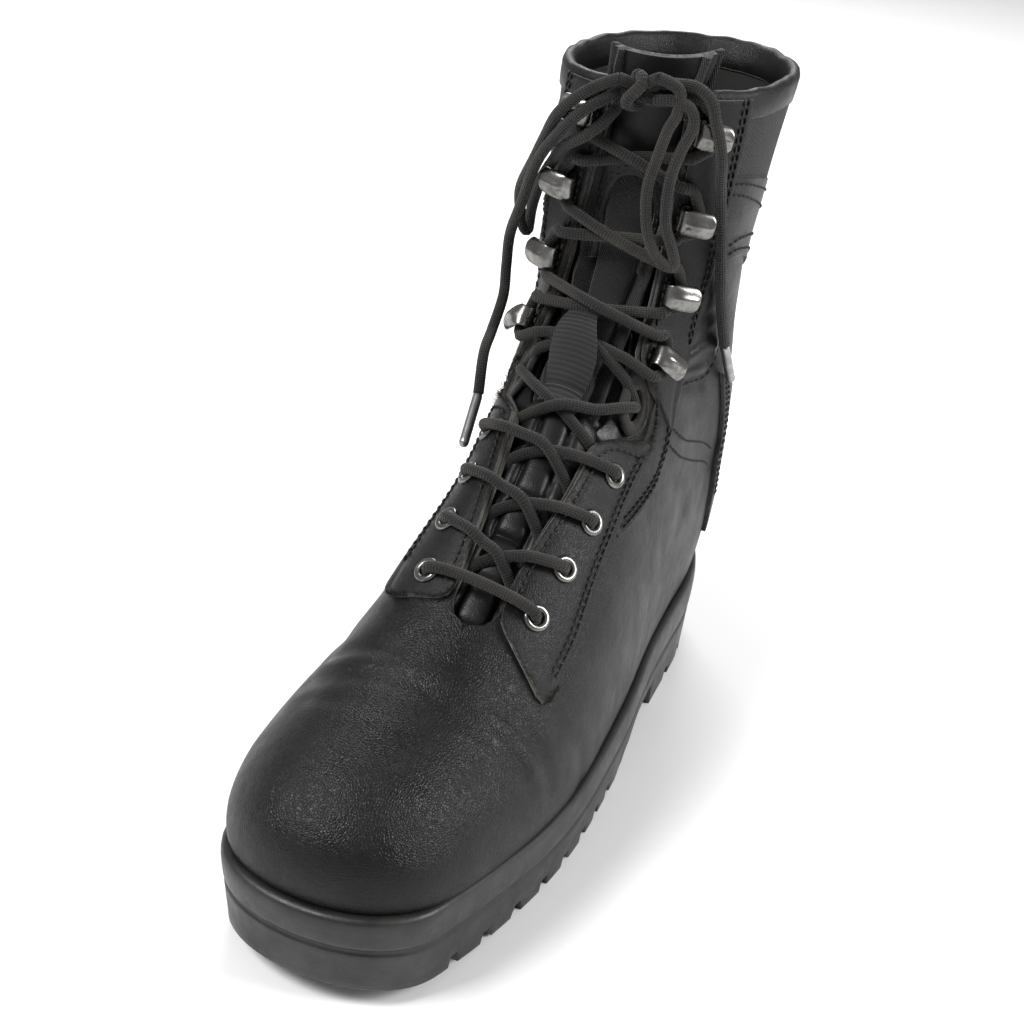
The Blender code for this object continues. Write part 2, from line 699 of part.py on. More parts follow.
def build_keeper(surface, look):
    """The webbing strap on the tongue that the laces pass under."""
    top, bottom = [], []
    rows = section_rows(surface, KEEPER_FROM, KEEPER_FROM + KEEPER_LENGTH)
    steps = np.linspace(0, 1, 7)
    for step in steps:
        along = KEEPER_FROM + KEEPER_LENGTH * step
        at = surface.section(along)
        arch = math.sin(math.pi * step) ** 0.7
        row_top, row_bottom = [], []
        for t in (-1, -0.35, 0.35, 1):
            across = middle(along) + KEEPER_HALF * t
            seat = -tongue_drop(along, t * KEEPER_HALF / tongue_half(along)) + 0.0005
            low = seat + (KEEPER_RISE - seat) * arch
            row_top.append(surface.point(at, across, low + KEEPER_THICKNESS))
            row_bottom.append(surface.point(at, across, low))
        top.append(row_top)
        bottom.append(row_bottom)
    return closed_slab("tongue_keeper", top, bottom, look)


def build_backstay(surface, look):
    """The strip up the back of heel and shaft, from the sole to the collar."""
    widths = ((13.5, 0.0250), (14.0, 0.0240), (15.0, 0.0190), (16.5, 0.0160), (18.94, 0.0150))
    rows = [at for at in BUILT_ROWS if widths[0][0] <= at < widths[-1][0]] + [widths[-1][0]]
    top, bottom = [], []
    for at in rows:
        half = smooth_table(widths, at, 1)
        spots = [half * t for t in (-1, -0.5, 0, 0.5, 1)]
        top.append([surface.back_point(at, d, OVERLAY_GAP + OVERLAY) for d in spots])
        bottom.append([surface.back_point(at, d, OVERLAY_GAP) for d in spots])
    return closed_slab("backstay", top, bottom, look)


def eyelet_spot(number, side):
    along = EYELET_FROM + EYELET_PITCH * number
    spread = EYELET_SPREAD_LOW + (EYELET_SPREAD_HIGH - EYELET_SPREAD_LOW) * number / 3
    return along, middle(along) + side * spread


def hook_spot(number, side):
    along = HOOK_FROM + 0.003 + HOOK_PITCH * number
    spread = HOOK_SPREAD_LOW + (HOOK_SPREAD_HIGH - HOOK_SPREAD_LOW) * number / 3
    return along, middle(along) + side * spread


def place_matrix(centre, x_axis, y_axis, z_axis):
    rows = [[x_axis[i], y_axis[i], z_axis[i], centre[i]] for i in range(3)]
    return Matrix(rows + [[0, 0, 0, 1]])


def lathe(name, profile, place, look, steps=8):
    """A ring from a closed profile of radius and height."""
    body = bmesh.new()
    corners = [body.verts.new((r, 0, z)) for r, z in profile]
    edges = [body.edges.new((a, b)) for a, b in zip(corners, corners[1:] + corners[:1])]
    bmesh.ops.spin(
        body, geom=corners + edges, cent=(0, 0, 0), axis=(0, 0, 1),
        angle=2 * math.pi, steps=steps, use_merge=True,
    )
    bmesh.ops.remove_doubles(body, verts=body.verts, dist=1e-6)
    bmesh.ops.recalc_face_normals(body, faces=body.faces)
    bmesh.ops.transform(body, matrix=place, verts=body.verts)
    data = bpy.data.meshes.new(name)
    body.to_mesh(data)
    body.free()
    return add_object(name, data, look)


def build_eyelet(surface, name, number, side, look):
    along, across = eyelet_spot(number, side)
    centre, normal, upward, outward = local_frame(surface, along, across)
    seat = OVERLAY_GAP + OVERLAY + GAP
    profile = (
        (EYELET_BORE, -WALL * 0.8), (EYELET_BARREL, -WALL * 0.8), (EYELET_BARREL, seat),
        (EYELET_RADIUS, seat), ((EYELET_RADIUS + EYELET_BORE) / 2, seat + EYELET_HEIGHT),
        (EYELET_BORE, seat + EYELET_HEIGHT * 0.5),
    )
    x_axis = np.cross(upward, normal)
    return lathe(name, profile, place_matrix(centre, x_axis, upward, normal), look)


def hole_cutter(surface):
    """Eight-sided pegs that cut the eyelet holes through facing and upper."""
    body = bmesh.new()
    for number in range(4):
        for side in (-1, 1):
            along, across = eyelet_spot(number, side)
            centre, normal, upward, outward = local_frame(surface, along, across)
            made = bmesh.ops.create_cone(
                body, cap_ends=True, segments=8, radius1=EYELET_HOLE, radius2=EYELET_HOLE, depth=EYELET_PEG,
            )
            place = place_matrix(centre, np.cross(upward, normal), upward, normal)
            bmesh.ops.transform(body, matrix=place, verts=made["verts"])
    data = bpy.data.meshes.new("hole_cutter")
    body.to_mesh(data)
    body.free()
    return as_cutter(add_object("hole_cutter", data, None))


def build_hook(surface, name, number, side, look):
    """A pressed speed hook: foot on the facing, neck at the throat side, mouth open away from the throat."""
    along, across = hook_spot(number, side)
    centre, normal, upward, outward = local_frame(surface, along, across)
    low = OVERLAY_GAP + OVERLAY + GAP + HOOK_PLATE / 2
    radius = (HOOK_MOUTH + HOOK_PLATE) / 2
    line = [(HOOK_REACH * 0.80, low), (0.0, low)]
    for turn in (30, 65, 115, 150):
        angle = math.radians(turn)
        line.append((-radius * math.sin(angle), low + radius * (1 - math.cos(angle))))
    line.append((0.0, low + 2 * radius))
    line.append((HOOK_REACH * 0.72, low + 2 * radius + 0.0002))
    line.append((HOOK_REACH, low + 2 * radius + 0.0012))
    line = np.array(line)
    step = np.gradient(line, axis=0)
    step /= np.linalg.norm(step, axis=1, keepdims=True)
    across_line = np.stack([-step[:, 1], step[:, 0]], 1) * HOOK_PLATE / 2
    outline = np.concatenate([line + across_line, (line - across_line)[::-1]])
    shift = -HOOK_REACH * 0.30
    points = []
    for end in (-0.5, 0.5):
        for t, n in outline:
            taper = 1.0 if t < HOOK_REACH * 0.6 else 0.72
            spot = centre + outward * (t + shift) + normal * n + upward * HOOK_WIDTH * end * taper
            points.append(spot)
    count = len(outline)
    half = count // 2
    faces = []
    for k in range(half - 1):
        a, b, c, d = k, k + 1, count - 2 - k, count - 1 - k
        faces += [(a, b, c, d), (count + a, count + b, count + c, count + d)]
    for k in range(count):
        nxt = (k + 1) % count
        faces.append((k, nxt, count + nxt, count + k))
    return add_object(name, mesh_of(name, points, faces), look)


def build_ankle_loop(surface, name, side, look):
    """The leather tab in the ankle notch, with an oval hole for the lace."""
    along = LOOP_ALONG
    spread = LOOP_SPREAD
    steps = 12
    points, faces = [], []
    for up in (-WALL - LOOP_DROP, -WALL - LOOP_DROP - LOOP_THICKNESS):
        for scale in ("outer", "inner"):
            for k in range(steps):
                angle = 2 * math.pi * k / steps
                a = LOOP_HALF_LONG if scale == "outer" else LOOP_HOLE_LONG
                b = LOOP_HALF_WIDE if scale == "outer" else LOOP_HOLE_WIDE
                power = 0.75 if scale == "outer" else 1.0
                c, s = math.cos(angle), math.sin(angle)
                da = a * math.copysign(abs(c) ** power, c)
                db = b * math.copysign(abs(s) ** power, s)
                spot_along = along + da
                at = surface.section(spot_along)
                points.append(surface.point(at, middle(along) + side * (spread + db), up))
    for k in range(steps):
        nxt = (k + 1) % steps
        outer_top, inner_top, outer_low, inner_low = 0, steps, 2 * steps, 3 * steps
        faces.append((outer_top + k, outer_top + nxt, inner_top + nxt, inner_top + k))
        faces.append((outer_low + k, outer_low + nxt, inner_low + nxt, inner_low + k))
        faces.append((outer_top + k, outer_top + nxt, outer_low + nxt, outer_low + k))
        faces.append((inner_top + k, inner_top + nxt, inner_low + nxt, inner_low + k))
    return add_object(name, mesh_of(name, points, faces), look)


def smooth_line(surface, stations, step):
    """Points at an even step on a smooth curve through stations: along, from the middle, and height."""
    spots = []
    for along, across, up in stations:
        at = surface.section(along)
        spots.append(surface.point(at, middle(along) + across, up))
    spots = np.array(spots)
    fine = [blend(spots, at) for at in np.linspace(0, len(spots) - 1.0001, 24 * len(spots))]
    fine = np.array(fine)
    run = np.concatenate([[0], np.cumsum(np.linalg.norm(np.diff(fine, axis=0), axis=1))])
    count = max(3, int(round(run[-1] / step)) + 1)
    even = np.linspace(0, run[-1], count)
    return np.stack([np.interp(even, run, fine[:, c]) for c in range(3)], 1)


def cord_object(name, points, radius, look, rounding=1):
    line = bpy.data.curves.new(name, "CURVE")
    line.dimensions = "3D"
    line.bevel_depth = radius
    line.bevel_resolution = rounding
    line.use_fill_caps = True
    spline = line.splines.new("POLY")
    spline.points.add(len(points) - 1)
    for spot, point in zip(spline.points, points):
        spot.co = (*map(float, point), 1.0)
    return add_object(name, line, look)


def strand(surface, name, stations, look):
    """One stretch of lace as a closed mesh, to be joined with the strand that it crosses."""
    points = smooth_line(surface, stations, 3.3 * LACE_RADIUS)
    line = cord_object(name + "_line", points, LACE_RADIUS, None, 1)
    shape = bpy.data.meshes.new_from_object(line.evaluated_get(bpy.context.evaluated_depsgraph_get()))
    bpy.data.objects.remove(line, do_unlink=True)
    points = [v.co[:] for v in shape.vertices]
    faces = [tuple(f.vertices) for f in shape.polygons]
    return add_object(name, mesh_of(name, points, faces), look)


def crossing(surface, name, route, look):
    """Two mirrored strands joined where they cross; the route is along, from the middle, and height."""
    first = strand(surface, name, route, look)
    second = strand(surface, name + "_partner", [(a, -c, up) for a, c, up in route], None)
    cut(first, as_cutter(second), "UNION")
    return first


# How high the lace's middle lies over the upper: on a facing, over an eyelet, and sunk at the throat's edge
LACE_ON_FACING = OVERLAY_GAP + OVERLAY + LACE_RADIUS + GAP
LACE_ON_EYELET = OVERLAY_GAP + OVERLAY + GAP + EYELET_HEIGHT + LACE_RADIUS + 3 * GAP
LACE_AT_EDGE = -0.0032
LACE_CROSSING = -0.0004
BESIDE_HOOK = HOOK_WIDTH / 2 + LACE_RADIUS + 0.0030


# The sections tilt, so a straight lace between two hooks dips towards the toe in the middle of the throat
CROSSING_DIPS = (0.0110, 0.0080, 0.0020)


def beside(surface, number):
    """How far along the ridge a lace lies from a hook's middle, measured where sections crowd together."""
    along, across = hook_spot(number, 1)
    above = surface.point(surface.section(along + HOOK_WIDTH / 2), across)
    under = surface.point(surface.section(along - HOOK_WIDTH / 2), across)
    return BESIDE_HOOK * HOOK_WIDTH / np.linalg.norm(above - under)


def throat(along):
    return smooth_table(THROAT_HALF, along, 1)


def build_crossings(surface, look):
    first, spread = eyelet_spot(0, 1)
    spread -= middle(first)
    edge = throat(first) + 0.001
    bar = [
        (first, -spread, LACE_ON_EYELET), (first, -edge, LACE_ON_FACING + 0.0004), (first, 0.0, 0.0040),
        (first, edge, LACE_ON_FACING + 0.0004), (first, spread, LACE_ON_EYELET),
    ]
    strand(surface, "lace_bar", bar, look)
    for number in range(3):
        low, _ = eyelet_spot(number, 1)
        high, across = eyelet_spot(number + 1, 1)
        pitch = high - low
        start, turn, over = low + 0.30 * pitch, low + 0.56 * pitch, low + 0.84 * pitch
        route = [
            (start, throat(start) - LACE_RADIUS - 0.0006, LACE_AT_EDGE),
            (turn, 0.0, LACE_CROSSING),
            (over - 0.10 * pitch, -throat(over) * 0.62, 0.0022),
            (over, -throat(over) - 0.0008, LACE_ON_FACING + 0.0010),
            (high - 0.0004, middle(high) - across, LACE_ON_EYELET),
        ]
        crossing(surface, f"lace_crossing_{number + 1}", route, look)
    top, _ = eyelet_spot(3, 1)
    to_loops = [
        (top + 0.0026, throat(top) - LACE_RADIUS - 0.0008, LACE_AT_EDGE),
        (top + 0.0082, 0.0, LACE_CROSSING - 0.0010),
        (top + 0.0150, -0.0130, -0.0004),
        (top + 0.0230, -0.0222, 0.0006),
        (LOOP_ALONG - 0.0015, -LOOP_SPREAD + 0.0022, 0.0002),
    ]
    crossing(surface, "lace_crossing_4", to_loops, look)
    hook, across = hook_spot(0, 1)
    across -= middle(hook)
    to_hooks = [
        (LOOP_ALONG + 0.0015, LOOP_SPREAD - 0.0106, -0.0010), (LOOP_ALONG + 0.0050, 0.0, -0.0002),
        (LOOP_ALONG + 0.0062, -0.0120, 0.0004), (LOOP_ALONG + 0.0070, -0.0190, 0.0030),
        (hook - beside(surface, 0), -across + 0.0030, LACE_ON_FACING + 0.0008),
    ]
    crossing(surface, "lace_crossing_5", to_hooks, look)
    for number, dip in enumerate(CROSSING_DIPS):
        low, near = hook_spot(number, 1)
        high, far = hook_spot(number + 1, 1)
        near -= middle(low)
        far -= middle(high)
        between = (low + high) / 2
        start = min(low + beside(surface, number), between)
        end = max(high - beside(surface, number + 1), between)
        half = (throat(start) + throat(end)) / 2
        route = [
            (start, near, LACE_ON_FACING), (start - 0.35 * dip, half + 0.0010, LACE_ON_FACING + 0.0008),
            ((start + end) / 2 - dip, 0.0, 0.0020),
            (end - 0.35 * dip, -half - 0.0010, LACE_ON_FACING + 0.0008), (end, -far, LACE_ON_FACING),
        ]
        crossing(surface, f"lace_crossing_{number + 6}", route, look)
    last, across = hook_spot(3, 1)
    across -= middle(last)
    for side, word, stop in ((1, "outer", KNOT_RIGHT), (-1, "inner", KNOT_LEFT)):
        route = [
            (last + beside(surface, 3), side * across, LACE_ON_FACING),
            (last + beside(surface, 3) + 0.0016, side * (throat(last) + 0.0012), LACE_ON_FACING),
            (last + beside(surface, 3) + 0.0030, stop, 0.0024),
        ]
        strand(surface, "lace_to_knot_" + word, route, look)


# The bow: distance along the ridge, from the throat's middle, and height over the upper
KNOT_SPOT = (0.3345, -0.0035, 0.0067)
KNOT_SIZE = (0.0044, 0.0060, 0.0043)
KNOT_LEFT = KNOT_SPOT[1] - KNOT_SIZE[0] - 0.0007
KNOT_RIGHT = KNOT_SPOT[1] + KNOT_SIZE[0] + 0.0007
LOOP_INNER = (
    (0.3380, -0.0089, 0.0100), (0.3357, -0.0125, 0.0110),
    (0.3332, -0.0152, 0.0135), (0.3285, -0.0190, 0.0150),
    (0.3222, -0.0238, 0.0150), (0.3142, -0.0298, 0.0122),
    (0.3090, -0.0350, 0.0110), (0.3030, -0.0500, 0.0108),
    (0.2980, -0.0545, 0.0095), (0.2945, -0.0562, 0.0080),
    (0.2945, -0.0585, 0.0060), (0.2985, -0.0490, 0.0058),
    (0.3030, -0.0385, 0.0058), (0.3075, -0.0295, 0.0066),
    (0.3118, -0.0222, 0.0104), (0.3160, -0.0158, 0.0110),
    (0.3210, -0.0118, 0.0090), (0.3248, -0.0100, 0.0070), (0.3276, -0.0088, 0.0052),
)
END_INNER = (
    (0.3330, -0.0090, 0.0064), (0.3302, -0.0118, 0.0108),
    (0.3260, -0.0156, 0.0138), (0.3178, -0.0218, 0.0142),
    (0.3070, -0.0300, 0.0135), (0.2960, -0.0400, 0.0130),
    (0.2900, -0.0500, 0.0138), (0.2810, -0.0540, 0.0142),
    (0.2680, -0.0500, 0.0142), (0.2507, -0.0446, 0.0140),
    (0.2380, -0.0390, 0.0138), (0.2240, -0.0410, 0.0095),
)
TIP_INNER = ((0.2236, -0.0411, 0.0094), (0.2120, -0.0408, 0.0066), (0.2000, -0.0392, 0.0062))
LOOP_OUTER = (
    (0.3405, 0.0018, 0.0102), (0.3390, 0.0055, 0.0104),
    (0.3363, 0.0084, 0.0108), (0.3292, 0.0092, 0.0108),
    (0.3237, 0.0079, 0.0106), (0.3133, 0.0070, 0.0104),
    (0.3024, 0.0066, 0.0102), (0.2904, 0.0088, 0.0100),
    (0.2835, 0.0122, 0.0102), (0.2808, 0.0165, 0.0104),
    (0.2836, 0.0206, 0.0104), (0.2880, 0.0182, 0.0102),
    (0.2948, 0.0142, 0.0102), (0.3077, 0.0122, 0.0104),
    (0.3180, 0.0128, 0.0104), (0.3258, 0.0142, 0.0112),
    (0.3308, 0.0128, 0.0112), (0.3334, 0.0090, 0.0108),
    (0.3330, 0.0050, 0.0092), (0.3322, 0.0022, 0.0082),
)
END_OUTER = (
    (0.3374, 0.0019, 0.0056), (0.3378, 0.0080, 0.0056),
    (0.3374, 0.0130, 0.0075), (0.3342, 0.0172, 0.0112),
    (0.3285, 0.0195, 0.0128), (0.3206, 0.0235, 0.0128),
    (0.3100, 0.0300, 0.0080), (0.3021, 0.0364, 0.0068),
    (0.2886, 0.0502, 0.0060), (0.2815, 0.0690, 0.0050),
)
TIP_OUTER = ((0.2814, 0.0693, 0.0050), (0.2802, 0.0800, 0.0046), (0.2800, 0.0905, 0.0044))
TIP_RADIUS = 0.0019
TIP_GAP = 0.0002


def shortened(points, start):
    """The same line of points, but starting a little later."""
    step = points[1] - points[0]
    return np.concatenate([[points[0] + step * start / np.linalg.norm(step)], points[1:]])


def build_bow(surface, look, metal):
    at = surface.section(KNOT_SPOT[0])
    centre, normal, upward, outward = local_frame(surface, KNOT_SPOT[0], middle(KNOT_SPOT[0]) + KNOT_SPOT[1])
    centre = surface.point(at, middle(KNOT_SPOT[0]) + KNOT_SPOT[1], KNOT_SPOT[2])
    body = bmesh.new()
    bmesh.ops.create_uvsphere(body, u_segments=10, v_segments=6, radius=1.0)
    size = Matrix.Diagonal((*KNOT_SIZE, 1.0))
    place = place_matrix(centre, np.cross(upward, normal), upward, normal)
    bmesh.ops.transform(body, matrix=place @ size, verts=body.verts)
    data = bpy.data.meshes.new("lace_knot")
    body.to_mesh(data)
    body.free()
    add_object("lace_knot", data, look)
    cords = (
        ("lace_loop_inner", LOOP_INNER, None), ("lace_end_inner", END_INNER, TIP_INNER),
        ("lace_loop_outer", LOOP_OUTER, None), ("lace_end_outer", END_OUTER, TIP_OUTER),
    )
    for name, stations, tip in cords:
        cord_object(name, smooth_line(surface, stations, 4.6 * LACE_RADIUS), LACE_RADIUS, look)
        if tip:
            points = shortened(smooth_line(surface, tip, 3 * LACE_RADIUS), TIP_GAP)
            cord_object(name.replace("end", "tip"), points, TIP_RADIUS, metal)


def build():
    clear_scene()
    surface = Surface()
    leather = material("black_leather", (0.035, 0.034, 0.033), 0.45)
    textile = material("tongue_textile", (0.04, 0.04, 0.038), 0.85)
    rubber = material("sole_rubber", (0.03, 0.03, 0.03), 0.5)
    board = material("insole_board", (0.30, 0.24, 0.17), 0.8)
    steel = material("worn_steel", (0.45, 0.43, 0.40), 0.35, 1.0)
    lace = material("lace_braid", (0.045, 0.043, 0.04), 0.9)
    tip_metal = material("lace_tip_metal", (0.5, 0.5, 0.5), 0.3, 1.0)

    upper = build_upper(surface, leather)
    cut(upper, throat_cutter(surface))
    holes = hole_cutter(surface)
    cut(upper, holes)
    build_outsole(surface, rubber)
    build_insole(surface, board)
    build_tongue(surface, leather)
    build_keeper(surface, textile)
    build_backstay(surface, leather)
    for side, word in ((1, "outer"), (-1, "inner")):
        lower = overlay(surface, "lower_facing_" + word, LOWER_FACING, side, leather)
        cut(lower, holes)
        overlay(surface, "shaft_facing_" + word, SHAFT_FACING, side, leather)
        build_ankle_loop(surface, "ankle_loop_" + word, side, leather)
        for number in range(4):
            build_eyelet(surface, f"eyelet_{word}_{number + 1}", number, side, steel)
            build_hook(surface, f"hook_{word}_{number + 1}", number, side, steel)
    build_crossings(surface, lace)
    build_bow(surface, lace, tip_metal)


build()
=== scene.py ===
# %% [markdown]
# # A left jungle boot
# This lesson dresses a CAD model of a worn black leather boot: it keeps the model's sizes and adds
# leather, cloth, thread, steel and lace. The part's own frame is loaded first, because every piece
# below is placed in that frame, in metres, with the toe towards -Y and the outer side towards +X.

# %% Load the frame
import math
import random

import bmesh
import bpy
import numpy as np
from mathutils import Matrix, Vector


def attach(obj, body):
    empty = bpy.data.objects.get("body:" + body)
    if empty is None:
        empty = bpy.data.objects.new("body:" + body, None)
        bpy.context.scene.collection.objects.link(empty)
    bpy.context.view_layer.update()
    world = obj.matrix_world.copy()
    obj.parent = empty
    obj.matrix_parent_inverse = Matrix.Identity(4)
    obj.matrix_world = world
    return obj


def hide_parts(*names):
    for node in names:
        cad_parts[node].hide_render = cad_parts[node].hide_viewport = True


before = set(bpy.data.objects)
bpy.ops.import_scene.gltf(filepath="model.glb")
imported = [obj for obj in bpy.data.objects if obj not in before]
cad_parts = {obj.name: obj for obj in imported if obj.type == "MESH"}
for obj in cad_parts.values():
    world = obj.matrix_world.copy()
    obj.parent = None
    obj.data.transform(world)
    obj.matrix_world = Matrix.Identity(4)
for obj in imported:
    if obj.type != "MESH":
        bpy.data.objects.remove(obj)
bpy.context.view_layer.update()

# %% [markdown]
# ## The last that the boot was made on
# A bootmaker draws the upper as sections round a last. Here each row is one tilted section, given as
# shares of a few real sizes, and smooth curves run through the rows. Drawing on such a form, instead of
# sculpting, keeps every seam and panel lying exactly on the leather.

# %% The boot's own sizes
UPPER_LENGTH = 0.290
HEEL_BACK = 0.038
BALL_WIDTH = 0.104
HEEL_WIDTH = 0.078
ANKLE_WIDTH = 0.081
COLLAR_WIDTH = 0.083
COLLAR_DEPTH = 0.107
TOE_HEIGHT = 0.050
INSTEP_HEIGHT = 0.139
COLLAR_HEIGHT = 0.258
HEEL_SEAT = 0.036
BALL_SEAT = 0.027
TOE_SEAT = 0.035
WALL = 0.0022
LAST = 19
CLOSED_FROM = 13
FINE_STEPS = 12
FINE_ACROSS = 96

COLUMN_NAMES = (
    "ridge_y", "ridge_z", "base_y", "base_z", "half_lat", "half_med",
    "widest", "top_round", "low_round", "edge_lat", "edge_med", "centre_x",
)


def section_table():
    """One row for each tilted section, from the toe's edge to the collar."""
    b, h, a, c = BALL_WIDTH / 2, HEEL_WIDTH / 2, ANKLE_WIDTH / 2, COLLAR_WIDTH / 2
    t, i, z = TOE_HEIGHT, INSTEP_HEIGHT, COLLAR_HEIGHT
    toe, ball, heel = TOE_SEAT, BALL_SEAT, HEEL_SEAT
    # ridge: share of length, height | base: share, height | half widths | shape | edges | middle
    rows = [
        (0.992, toe + 0.02 * t, 0.900, toe - 0.002, 0.70 * b, 0.72 * b, 0.97, 2.1, 2.0, 0.69 * b, 0.71 * b, -0.008),
        (1.003, toe + 0.26 * t, 0.865, toe - 0.004, 0.80 * b, 0.82 * b, 0.93, 2.1, 2.0, 0.76 * b, 0.78 * b, -0.0085),
        (0.985, toe + 0.56 * t, 0.825, ball + 0.003, 0.88 * b, 0.88 * b, 0.88, 2.1, 2.0, 0.82 * b, 0.83 * b, -0.009),
        (0.930, toe + 0.80 * t, 0.780, ball + 0.001, 0.94 * b, 0.93 * b, 0.84, 2.05, 2.0, 0.87 * b, 0.88 * b, -0.009),
        (0.855, toe + 0.93 * t, 0.730, ball, 0.985 * b, 0.96 * b, 0.82, 2.05, 2.1, 0.91 * b, 0.90 * b, -0.008),
        (0.770, toe + 1.08 * t, 0.670, ball, 1.00 * b, 0.96 * b, 0.80, 2.05, 2.1, 0.92 * b, 0.88 * b, -0.006),
        (0.690, ball + 0.53 * i, 0.605, ball + 0.001, 0.98 * b, 0.90 * b, 0.79, 2.05, 2.1, 0.90 * b, 0.82 * b, -0.004),
        (0.605, ball + 0.66 * i, 0.525, ball + 0.003, 0.93 * b, 0.81 * b, 0.77, 2.05, 2.1, 0.85 * b, 0.72 * b, -0.002),
        (0.520, ball + 0.79 * i, 0.435, heel - 0.005, 0.86 * b, 0.74 * b, 0.75, 2.05, 2.1, 0.78 * b, 0.62 * b, 0.0),
        (0.440, ball + 0.91 * i, 0.335, heel - 0.002, 1.09 * h, 0.96 * h, 0.72, 2.05, 2.1, 0.95 * h, 0.82 * h, 0.0),
        (0.380, ball + 1.01 * i, 0.230, heel, 1.05 * h, 0.96 * h, 0.68, 2.1, 2.1, 0.91 * h, 0.85 * h, 0.0),
        (0.342, ball + 1.09 * i, 0.125, heel + 0.001, 1.03 * h, 0.98 * h, 0.66, 2.15, 2.1, 0.87 * h, 0.85 * h, 0.0),
        (0.322, 0.722 * z, 0.040, heel + 0.002, 1.02 * h, 1.00 * h, 0.64, 2.15, 2.0, 0.64 * h, 0.64 * h, 0.0003),
        (0.311, 0.756 * z, 0.000, heel + 0.006, 1.02 * h, 1.01 * h, 0.62, 2.2, 2.0, 0.0, 0.0, 0.0006),
        (0.305, 0.792 * z, -0.008, heel + 0.12 * z, 0.98 * a, 0.97 * a, 0.58, 2.2, 2.0, 0.0, 0.0, 0.001),
        (0.303, 0.831 * z, 0.016, heel + 0.25 * z, 0.99 * a, 0.96 * a, 0.54, 2.2, 2.0, 0.0, 0.0, 0.0016),
        (0.303, 0.872 * z, 0.036, heel + 0.38 * z, 0.97 * a, 0.95 * a, 0.51, 2.2, 2.05, 0.0, 0.0, 0.0023),
        (0.303, 0.915 * z, 0.026, heel + 0.53 * z, 0.94 * c, 0.92 * c, 0.50, 2.2, 2.1, 0.0, 0.0, 0.0031),
        (0.303, 0.958 * z, -0.010, heel + 0.68 * z, 0.98 * c, 0.97 * c, 0.50, 2.2, 2.1, 0.0, 0.0, 0.004),
    ]
    table = [(HEEL_BACK - r[0] * UPPER_LENGTH, r[1], HEEL_BACK - r[2] * UPPER_LENGTH) + r[3:] for r in rows]
    front = HEEL_BACK - 0.303 * UPPER_LENGTH
    table.append((front, z, front + COLLAR_DEPTH, 0.985 * z, c, c, 0.50, 2.2, 2.1, 0.0, 0.0, 0.005))
    return np.array(table)


def blend(table, at):
    """Smooth value between the rows of a table, at a fractional row."""
    at = min(max(at, 0.0), len(table) - 1.000001)
    i = int(at)
    f = at - i
    p0 = table[i - 1] if i > 0 else 2 * table[0] - table[1]
    p1 = table[i]
    p2 = table[i + 1]
    p3 = table[i + 2] if i + 2 < len(table) else 2 * table[-1] - table[-2]
    bend = 2 * p0 - 5 * p1 + 4 * p2 - p3
    return 0.5 * (2 * p1 + (p2 - p0) * f + bend * f**2 + (3 * p1 - p0 - 3 * p2 + p3) * f**3)


# %% Work out the form's surface
def half_section(row, half, edge):
    """Half of one section, from the ridge to its lower edge: out from the middle, and share of the way down."""
    turn = np.linspace(0, math.pi / 2, 61)
    low = row["widest"]
    p, q = 2 / row["top_round"], 2 / row["low_round"]
    out = [row[half] * np.sin(turn) ** p, (row[edge] + (row[half] - row[edge]) * np.cos(turn) ** q)[1:]]
    down = [low * (1 - np.cos(turn) ** p), (low + (1 - low) * np.sin(turn) ** q)[1:]]
    return np.concatenate(out), np.concatenate(down)


def even_points(points, count):
    """The same line with its points at an even distance."""
    run = np.concatenate([[0], np.cumsum(np.linalg.norm(np.diff(points, axis=0), axis=1))])
    even = np.linspace(0, run[-1], count)
    return np.stack([np.interp(even, run, points[:, c]) for c in range(points.shape[1])], 1), run[-1]


def work_out_form():
    table = section_table()
    edges = [COLUMN_NAMES.index("edge_lat"), COLUMN_NAMES.index("edge_med")]
    table[:, edges] **= 2
    at = np.linspace(0, LAST, LAST * FINE_STEPS + 1)
    grid = np.zeros((2, len(at), FINE_ACROSS + 1, 3))
    girth = np.zeros((2, len(at)))
    for k, number in enumerate(at):
        blended = blend(table, number)
        blended[edges] = np.sqrt(np.maximum(blended[edges], 0.0))
        row = dict(zip(COLUMN_NAMES, blended))
        for s, (half, edge) in enumerate((("half_lat", "edge_lat"), ("half_med", "edge_med"))):
            out, down = half_section(row, half, edge)
            x = row["centre_x"] + (out if s == 0 else -out)
            y = row["ridge_y"] + down * (row["base_y"] - row["ridge_y"])
            z = row["ridge_z"] + down * (row["base_z"] - row["ridge_z"])
            grid[s, k], girth[s, k] = even_points(np.stack([x, y, z], 1), FINE_ACROSS + 1)
    facing = np.zeros_like(grid)
    for s in (0, 1):
        facing[s] = np.cross(np.gradient(grid[s], axis=0), np.gradient(grid[s], axis=1)) * (-1 if s == 0 else 1)
    facing /= np.maximum(np.linalg.norm(facing, axis=3, keepdims=True), 1e-12)
    for rows, column in ((slice(None), 0), (slice(CLOSED_FROM * FINE_STEPS, None), FINE_ACROSS)):
        mean = facing[0][rows, column] + facing[1][rows, column]
        mean /= np.linalg.norm(mean, axis=1, keepdims=True)
        facing[0][rows, column] = mean
        facing[1][rows, column] = mean
    return at, grid, girth, facing


FORM_AT, FORM, GIRTH, FACING = work_out_form()
RIDGE_RUN = np.concatenate([[0], np.cumsum(np.linalg.norm(np.diff(FORM[0][:, 0], axis=0), axis=1))])
RIDGE_DRAWN = 0.3336
STRETCH = RIDGE_RUN[-1] / RIDGE_DRAWN
END_STEP = RIDGE_RUN[-1] - RIDGE_RUN[-1 - FINE_STEPS]
print("ridge", round(float(RIDGE_RUN[-1]), 4), "m over", LAST, "sections")

